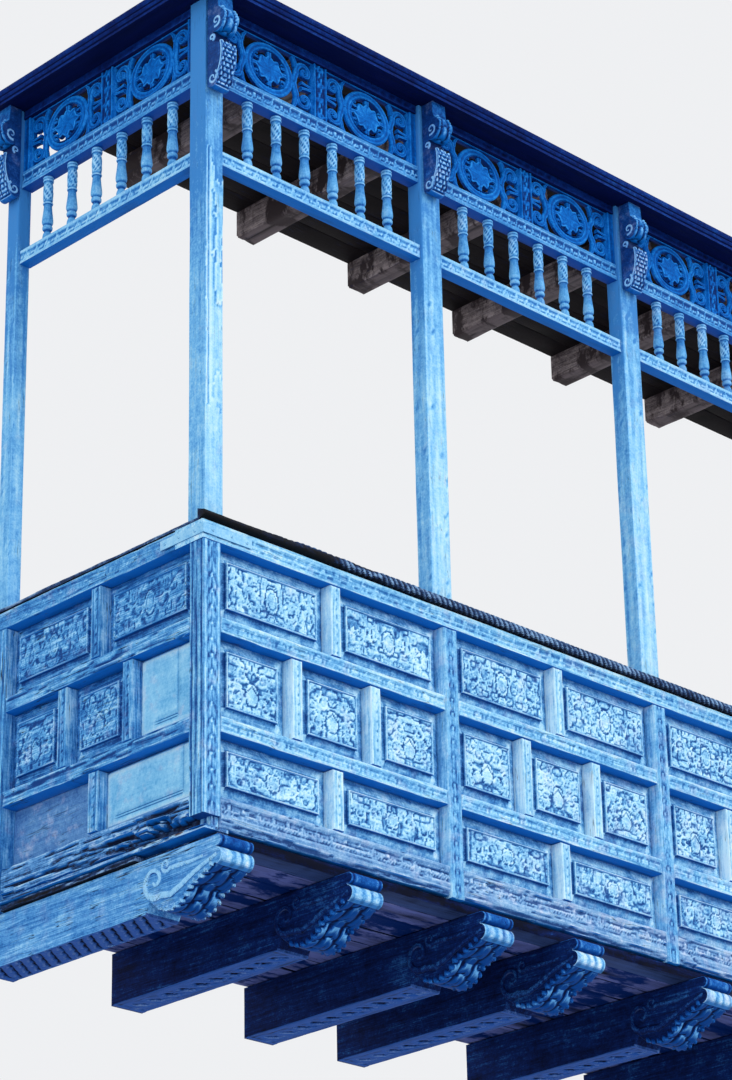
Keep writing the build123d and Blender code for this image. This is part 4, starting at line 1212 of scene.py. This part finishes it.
CONSOLE_W, OUT, TOP = 70.0, 92.0, 382.0
heel, knee, chest = (0, 0.05 * TOP), (0.52 * OUT, 0.08 * TOP), (0.8 * OUT, 0.46 * TOP)
neck_low, neck_high, brow = (0.44 * OUT, 0.5 * TOP), (0.44 * OUT, 0.56 * TOP), (0.66 * OUT, 0.83 * TOP)
crown_at, back_top = (0.6 * OUT, TOP), (0, TOP)
console_path, (_, _, BELLY_END, _, LEAF_FROM, LEAF_TO, _, _) = closed_path(
    arc3(heel, (0.28 * OUT, 0), knee, 14), arc3(knee, (0.84 * OUT, 0.27 * TOP), chest, 34),
    straight(chest, neck_low, 7), straight(neck_low, neck_high, 6),
    arc3(neck_high, (OUT, 0.69 * TOP), brow, 36), straight(brow, crown_at, 14),
    straight(crown_at, back_top, 4), straight(back_top, heel, 6))


def console_relief(s, t):
    """Overlapping scales on the belly of the scroll and a bunch of leaves above its neck."""
    index = np.broadcast_to(np.arange(len(s))[:, None], s.shape)
    rank = s / 18.0
    q = (t / 18.5 + np.where(np.floor(rank) % 2 == 0, 0.0, 0.5)) % 1.0
    scale = held(1 - ((q - 0.5) ** 2 * 3.6 + ((rank % 1.0) - 0.15) ** 2 * 1.3)) ** 0.5
    belly = np.where(np.abs(t) > 28, 0.5 * np.sin(s / 3.2) - 1.0, 8.0 * scale - 8.0)
    folds = np.abs(np.cos(t / 10.5)) ** 0.7
    tips = np.abs(np.sin(s / 20.0 + np.abs(t) / 24.0)) ** 0.6
    bunch = 8.0 * folds * tips - 8.0
    move = np.where(index < BELLY_END, belly, np.where(index > LEAF_FROM, bunch, -11.0))
    # Painted shade: darker in the sunk neck between the scales and the leaves
    gap = (index >= BELLY_END) & (index <= LEAF_FROM)
    return np.where((index > 8) & (index < LEAF_TO), move, 0.0), np.where(gap, -0.9, -0.12)


# The scrolls on the flanks: centre, radius, first angle and turn
CONSOLE_SCROLLS = ((28, 36, 27, 0.3, -2.5), (24, 201, 15, -0.4, 2.2), (46, 262, 25, -0.6, 2.3))
rows = np.arange(len(console_path))
console_kinds = np.where((rows >= LEAF_FROM) & (rows < len(console_path) - 9), 1, 0)
belly_rim = np.array(console_path[12:BELLY_END]) - (7.0, 0.0)
END_U, WALL_CONSOLE_U, FLANK_U, TIP_U, TIPS = 77.5, DEPTH - 35.0, 33.5, 24.0, 7
spots = [("front", u, (1, -1)) for u in (END_U, *STILE_US, FRONT_L - END_U)]
spots += [("left", WALL_CONSOLE_U, (1,)), ("right", WALL_CONSOLE_U, (-1,))]
piece = Piece("scroll_consoles", "consoles", CONSOLE, LEAF, slot="screen_paint")
for side, u, open_ways in spots:
    at = origin, along, up, out = place(side, u, SETBACK, CORNICE_Z - TOP)
    sweep(piece, at, console_path, CONSOLE_W, console_relief, console_kinds, 4.6, 0.7, -0.45)
    for way in open_ways:
        for x, z, r, start, turn in CONSOLE_SCROLLS:
            reach, height = spiral(x, z, r, 4, start, turn, 28).T
            points = set_in(at, way * FLANK_U, height, reach)
            tube(piece, points, np.linspace(6.6, 3.8, 28), way * along, 0.55, 0, -0.15)
        reach, height = belly_rim.T
        tube(piece, set_in(at, way * FLANK_U, height, reach), 4.0, way * along, 0.7)
        for k in range(TIPS):
            tip = set_in(at, way * TIP_U, 226 + 13 * k, 44 + 36 * math.sin(0.4 + 0.33 * k))
            lobe(piece, tip, 0.6 * out + way * 0.5 * along + 0.5 * up, (13, 9, 7), 1)
piece.build(45)

# Cornice: out and up
CORNICE_PATH = ((-100, 0), (45, 0), (45, 8), (40, 11), (40, 16), (45, 19), (48, 24), (49, 29), (47, 33),
                (51, 36), (55, 43), (55, CORNICE_H), (-100, CORNICE_H))
for side in ("front", *SIDES):
    front = side == "front"
    stops = np.linspace(0, 1, 90 if front else 24)
    verts = []
    for reach, rise in CORNICE_PATH:
        end = FRONT_L + reach if front else DEPTH
        us = -reach + (end + reach) * stops
        shake = 0.5 * noise(us, us * 0 + rise, 140, 30, 350, 2) * (rise not in (0, CORNICE_H))
        verts.append([place(side, u, -reach, CORNICE_Z + rise + dz)[0] for u, dz in zip(us, shake)])
    verts = np.array(verts)
    piece = Piece(f"moulded_{side}_cornice", f"{side}_cornice", NAVY, slot="navy_paint")
    grain = verts.reshape(-1, 3)[:, (0, 1, 2) if front else (1, 0, 2)] * MM
    bar(piece, verts, None, grain, side == "left")
    piece.build(35)

# Ceiling, joists, floor and sills


def decking(piece, count, z, gap, thick, relief_of, *grid):
    """Boards side by side along the front, seen from below: relief_of(number, half width) carves each."""
    pitch = (DEPTH - DECK_INSET) / count
    for i in range(count):
        origin = np.array(((LEFT_X + RIGHT_X) / 2, FRONT_Y + DECK_INSET + pitch * (i + 0.5), z))
        slab(piece, (origin, X_AXIS, -Y_AXIS, -Z_AXIS), (FRONT_L - 2 * DECK_INSET, pitch - gap, thick),
             relief_of(i, pitch / 2), *grid)
    piece.build()


def boarding(number, half):
    """A floorboard with ragged dark gaps at both edges."""

    def relief(x, y):
        ragged = half - np.abs(y) - 5 - 4 * noise(x, np.sign(y), 120, 5, 408 + number, 3)
        gap = held(1 - ragged / 3)
        return 1.6 * noise(x, y, 260, 18, 400 + number, 3) - 2.4 - 1.5 * (number % 2) - 5 * gap, -1.4 * gap

    return relief


decking(Piece("ceiling_boards", "ceiling", CEILING, slot="bare_timber"), 9, CEILING_Z, 3.0, 20.0,
        lambda i, half: timber(360 + i, 1.0), 36.0, 1.5)

piece = Piece("rough_joists", "joists", RAW, slot="bare_timber")
for i in range(JOISTS):
    origin = np.array((LEFT_X + (i + 1) * JOIST_PITCH, (FRONT_Y + JOIST_FRONT) / 2, JOIST_Z))
    slab(piece, (origin, Y_AXIS, X_AXIS, -Z_AXIS), (DEPTH - JOIST_FRONT, JOIST_W, JOIST_H),
         lambda x, y, k=i: 3.5 * noise(x, y, 220, 30, 380 + k, 3) - 3.5, 9.0, 12.0)
piece.build()

decking(Piece("floor_boards", "floor", BOARDS, slot="floor_paint"), 8, BEAM_TOP, 1.0, 40.0, boarding,
        40.0, 3.0, (4.0, 7.0, 10.0, 13.0))

# Painted shade: the set-back sill takes the shaded paint and a dark tone, for the shade under the bottom rail
piece = Piece("worn_front_sill", "front_sill", SHADED)
board(piece, "front", (DECK_INSET, FRONT_L - DECK_INSET), (BEAM_TOP, 0.0), 85.0,
      lambda x, y: (timber(420, 3.0)(x, y)[0], -0.9), 9.0, 4.0, 15.0, wobble=4.0)
piece.build()

SILL_LIP, LIP_Z, LOST_SILL = 8.0, -18.0, 330.0
for side in SIDES:
    piece = Piece(f"worn_{side}_sill", f"{side}_sill", ROTTEN, ROPE)
    u0, u1 = -SILL_LIP, DEPTH - WALL_STILE_W
    board(piece, side, (u0, u1), (LIP_Z, 0.0), 108.0, timber(431, 7.0), 6.0, 4.0, -SILL_LIP, wobble=6.0)
    board(piece, side, (LOST_SILL if side == "left" else u0, u1), (BEAM_TOP, LIP_Z), 50.0,
          lambda x, y: 6 * noise(x, y, 70, 14, 433, 3) - 6, 6.0, 3.0, material=1, wobble=5.0)
    board(piece, side, (u0, u1), (BEAM_TOP, LIP_Z), 50.0, timber(435, 2.0), 9.0, 1.0, 50.0, material=1)
    board(piece, side, (u1, DEPTH), (BEAM_TOP, 0.0), 30.0, timber(436, 1.0), 9.0, 1.0, FRAME_T, material=1)
    piece.build()

# Beams: out from the parapet's face and up from the floor, from the wall along the top and back underneath
HEAD_END, NECK_END = (-225, BEAM_BOTTOM), (-293, BEAM_BOTTOM)
wall_top, wall_bottom = (-DEPTH, BEAM_TOP), (-DEPTH, BEAM_BOTTOM)
beam_path, (_, TIP_FROM, _, ROLL_FROM, HEAD_FROM, _, HEAD_TO, _, UNDER_FROM, UNDER_TO) = closed_path(
    straight(wall_top, (44, BEAM_TOP), 20), arc3((44, -40), (64, -60), (44, -80), 16),
    straight((44, -80), (36, -80), 2), arc3((36, -80), (66, -110), (36, -140), 18),
    arc3((36, -140), (-24.7, -172), (-74, -190), 22), arc3((-74, -190), (-140, -241), HEAD_END, 34),
    straight(HEAD_END, (-275, -185), 8), straight((-275, -185), NECK_END, 6),
    straight(NECK_END, wall_bottom, 88), straight(wall_bottom, wall_top, 4))
edge_points = beam_path[HEAD_FROM + 2:HEAD_TO:5]
beam_path = beam_path[::-1]
beam_index = len(beam_path) - 1 - np.arange(len(beam_path))
SAW_PITCH, NOTCH_PITCH = 52.0, 78.0


def beam_relief(corner):
    """Rolls and acanthus on the head, and along the underside slanted cuts or, on inner beams, notches."""

    def relief(s, t):
        index = np.broadcast_to(beam_index[:, None], s.shape)
        bent = t + 5 * noise(s, t, 60, 60, 457)
        folds = np.abs(np.cos(bent / 17.0)) ** 0.6
        frill = np.abs(np.sin(s / 24.0 + np.abs(bent) / 30.0)) ** 0.5
        sunk = 9.0 * np.sin(math.pi * held((index - HEAD_FROM) / (HEAD_TO - HEAD_FROM))) ** 2
        head = 12.0 * folds * frill - 2.5 * bell(np.sin(bent / 5.2), 0.35) - 12.0 - sunk
        if corner:
            cut = held(1 - (s / SAW_PITCH + t / 70.0) % 1.0 * 2.2) * held((64 - np.abs(t)) / 6)
            under = -13.0 * cut
        else:
            notch = (s / NOTCH_PITCH) % 1.0
            skew = (notch - 0.5) * NOTCH_PITCH - t * 0.5
            cut = held(1 - (skew / 20.0) ** 2 - (t / 27.0) ** 2) ** 0.5
            between = (((notch + 0.5) % 1.0) - 0.5) * NOTCH_PITCH - (t - 22) * 0.8
            cut = np.maximum(cut, 0.6 * held(1 - (between / 7.0) ** 2 - ((t - 22) / 16.0) ** 2) ** 0.5)
            under = -15.0 * cut
        under = under + 1.5 * noise(s, t, 120, 12, 450, 3) - 1.5
        ringed = -3.0 * bell(np.abs(t) - 56, 2.5) - 0.5
        ridged = -1.6 * (1 - np.abs(np.cos(t / 13.0 + 0.8 * noise(s, t, 40, 40, 455)))) - 0.5
        move = np.where((index > TIP_FROM) & (index < ROLL_FROM), ringed, 0.0)
        move = np.where((index >= ROLL_FROM) & (index < HEAD_FROM), ridged, move)
        move = np.where((index >= HEAD_FROM) & (index < HEAD_TO), head, move)
        # Painted shade: the underside is darker in its cuts and notches
        below = (index > UNDER_FROM + 1) & (index < UNDER_TO - 2)
        return np.where(below, under, move), np.where(below, -held(1.5 * cut), 0.0)

    return relief


def beam_kinds(main):
    """The sides and top in one paint, and tip, roll, leaves and underside in their own."""
    kinds = np.full(len(beam_path), main)
    for start, end, kind in ((TIP_FROM, ROLL_FROM, 2), (ROLL_FROM, HEAD_FROM, 3), (HEAD_FROM, HEAD_TO, 2),
                             (UNDER_FROM, UNDER_TO, 4)):
        kinds[(beam_index >= start) & (beam_index < end)] = kind
    return kinds


# The scrolls on the flanks: distance behind the parapet's face and height, and their radii
stem = ((-44, -104), (-12, -116), (30, -128), (78, -146), (126, -168), (172, -184))
scroll = np.concatenate((stem, spiral(250, -122, 62, 7, -0.66, 2.5, 42)))
scroll_r = np.concatenate((np.linspace(7.0, 13.0, 6), np.linspace(13.0, 6.0, 42)))
small_scroll = np.concatenate((((20, -96), (80, -100), (140, -98)), spiral(196, -82, 26, 5, -0.8, 2.2, 26)))
small_r = np.concatenate(((6.0, 8.0, 9.0), np.linspace(9.0, 4.6, 26)))


def weathered(seed):
    """The long side of a corner beam: furrows and one winding rift."""

    def relief(x, y):
        rift = -1.8 * bell(y - 18 - 14 * noise(x, x * 0, 260, 9, seed, 3), 2.2)
        return rift + 1.4 * noise(x, y, 260, 9, seed + 3, 3) - 1.4

    return relief


# Per beam: main paint, paint of the leaf tips, tone of the scrolls and of the tips; the inner beams take the
# dark paints and tones as painted shade under the floor
CORNER_LOOK, INNER_SHADE_LOOK = (0, 0, 0.0, 0.0), (1, 2, -0.6, -0.5)
VENEER_AT, VENEER_L, VENEER_T = 715.0, 830.0, 4.0
piece = Piece("scroll_beams", "beams", BEAM, SHADED, HEAD, ROLL, UNDER, slot="beam_paint")
for i, left in enumerate(BEAM_LEFTS):
    at = origin, along, up, out = place("front", left + BEAM_W / 2, 0, 0)
    corner = i in (0, len(BEAM_LEFTS) - 1)
    main, tip_paint, tone, tip_tone = CORNER_LOOK if corner else INNER_SHADE_LOOK
    sweep(piece, at, beam_path, BEAM_W, beam_relief(corner), beam_kinds(main), 6.0)
    for way in (1, -1):
        flank = way * (BEAM_W / 2 - 1.5)
        for line, radii in ((scroll, scroll_r), (small_scroll, small_r)):
            tube(piece, set_in(at, flank, line[:, 1], -line[:, 0]), radii, way * along, 0.7, main, tone)
        for reach, height in edge_points:
            centre = set_in(at, way * (BEAM_W / 2 - 7.0), height + 21.0, reach - 12.0)
            lobe(piece, centre, way * 0.35 * along + 0.5 * out - 0.8 * up, (21, 13, 9), tip_paint, tip_tone)
        if corner:
            face_at = set_in(at, flank + way, (BEAM_TOP + BEAM_BOTTOM) / 2, -VENEER_AT)
            slab(piece, (face_at, -way * out, up, way * along),
                 (VENEER_L, BEAM_TOP - BEAM_BOTTOM - 4.0, VENEER_T), weathered(460 + way), 7.0, 3.0, gain=0.9)
piece.build(45)

# Straps around the corners, and their nails
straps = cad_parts["corner_straps"].data
straps.materials.clear()
straps.materials.append(IRON)

STRAP_Z, FRONT_NAILS, SIDE_NAILS = 1017.0, (38, 120, 188), (38, 118, 186)
piece = Piece("strap_nails", None, IRON, slot="painted_iron")
nail, nail_faces, nail_wear = lathe(((0, 6), (2, 5.6), (3.6, 3.6), (4.2, 1.0)), 12)
nails = [("front", u, 3) for u in (*FRONT_NAILS, *(FRONT_L - u for u in FRONT_NAILS))]
for side, u, swing in nails + [(side, u, -3) for side in SIDES for u in SIDE_NAILS]:
    at = place(side, u, -4.0, STRAP_Z + swing * math.sin(u))
    piece.add(set_in(at, *nail.T), nail_faces, nail_wear)
piece.build(60)

# Studio

bpy.ops.mesh.primitive_plane_add(size=60, location=(2.2, -2.0, -5.063))
ground = bpy.context.object
ground.name = "studio_floor"
pale_floor = bpy.data.materials.new("studio_floor")
floor_inputs = Nodes(pale_floor).tree.nodes["Principled BSDF"].inputs
floor_inputs["Base Color"].default_value = srgb(226, 226, 228)
floor_inputs["Roughness"].default_value = 0.9
ground.data.materials.append(pale_floor)

# The world lights the object evenly and shows a pale background to the camera and in reflections
world = bpy.data.worlds.new("studio")
bpy.context.scene.world = world
n = Nodes(world)
n.tree.nodes.clear()
rays = n.new("ShaderNodeLightPath").outputs
seen = n.math("ADD", rays["Is Camera Ray"], rays["Is Glossy Ray"])
seen = n.math("ADD", seen, rays["Is Transmission Ray"], clamp=True)
light = n.new("ShaderNodeBackground", {"Color": (0.92, 0.96, 1.0, 1), "Strength": 0.78})
backdrop = n.new("ShaderNodeBackground", {"Color": (0.86, 0.87, 0.89, 1), "Strength": 1.0})
mixer = n.new("ShaderNodeMixShader", {0: seen, 1: light.outputs[0], 2: backdrop.outputs[0]})
n.new("ShaderNodeOutputWorld", {"Surface": mixer.outputs[0]})


def sun(name, towards, strength, spread):
    """A soft lamp far away, shining along a direction."""
    lamp = bpy.data.lights.new(name, "SUN")
    lamp.energy, lamp.angle = strength, math.radians(spread)
    holder = bpy.data.objects.new(name, lamp)
    holder.rotation_euler = Vector(towards).to_track_quat("-Z", "Y").to_euler()
    bpy.context.scene.collection.objects.link(holder)


sun("key", (-0.35, 0.80, -0.50), 1.25, 40)
sun("fill", (0.85, 0.40, -0.30), 0.80, 60)
sun("rise", (0.2, 0.6, 0.75), 0.35, 80)

# The camera, solved on corners of the object in the photograph
CAMERA_AT, CAMERA_WAY = (-6.5117, -8.4272, -3.4631), (0.6404, 0.6473, 0.4134)
CAMERA_ROLL, CAMERA_LENS = -1.13, 109.96
camera = bpy.data.cameras.new("camera")
camera.sensor_fit, camera.sensor_height, camera.lens = "VERTICAL", 36.0, CAMERA_LENS
camera.clip_end = 200
holder = bpy.data.objects.new("camera", camera)
roll = Matrix.Rotation(math.radians(CAMERA_ROLL), 3, "Z")
turn = Vector(CAMERA_WAY).to_track_quat("-Z", "Y").to_matrix() @ roll
holder.matrix_world = Matrix.Translation(Vector(CAMERA_AT)) @ turn.to_4x4()
bpy.context.scene.collection.objects.link(holder)
bpy.context.scene.camera = holder
bpy.context.scene.view_settings.view_transform = "Standard"
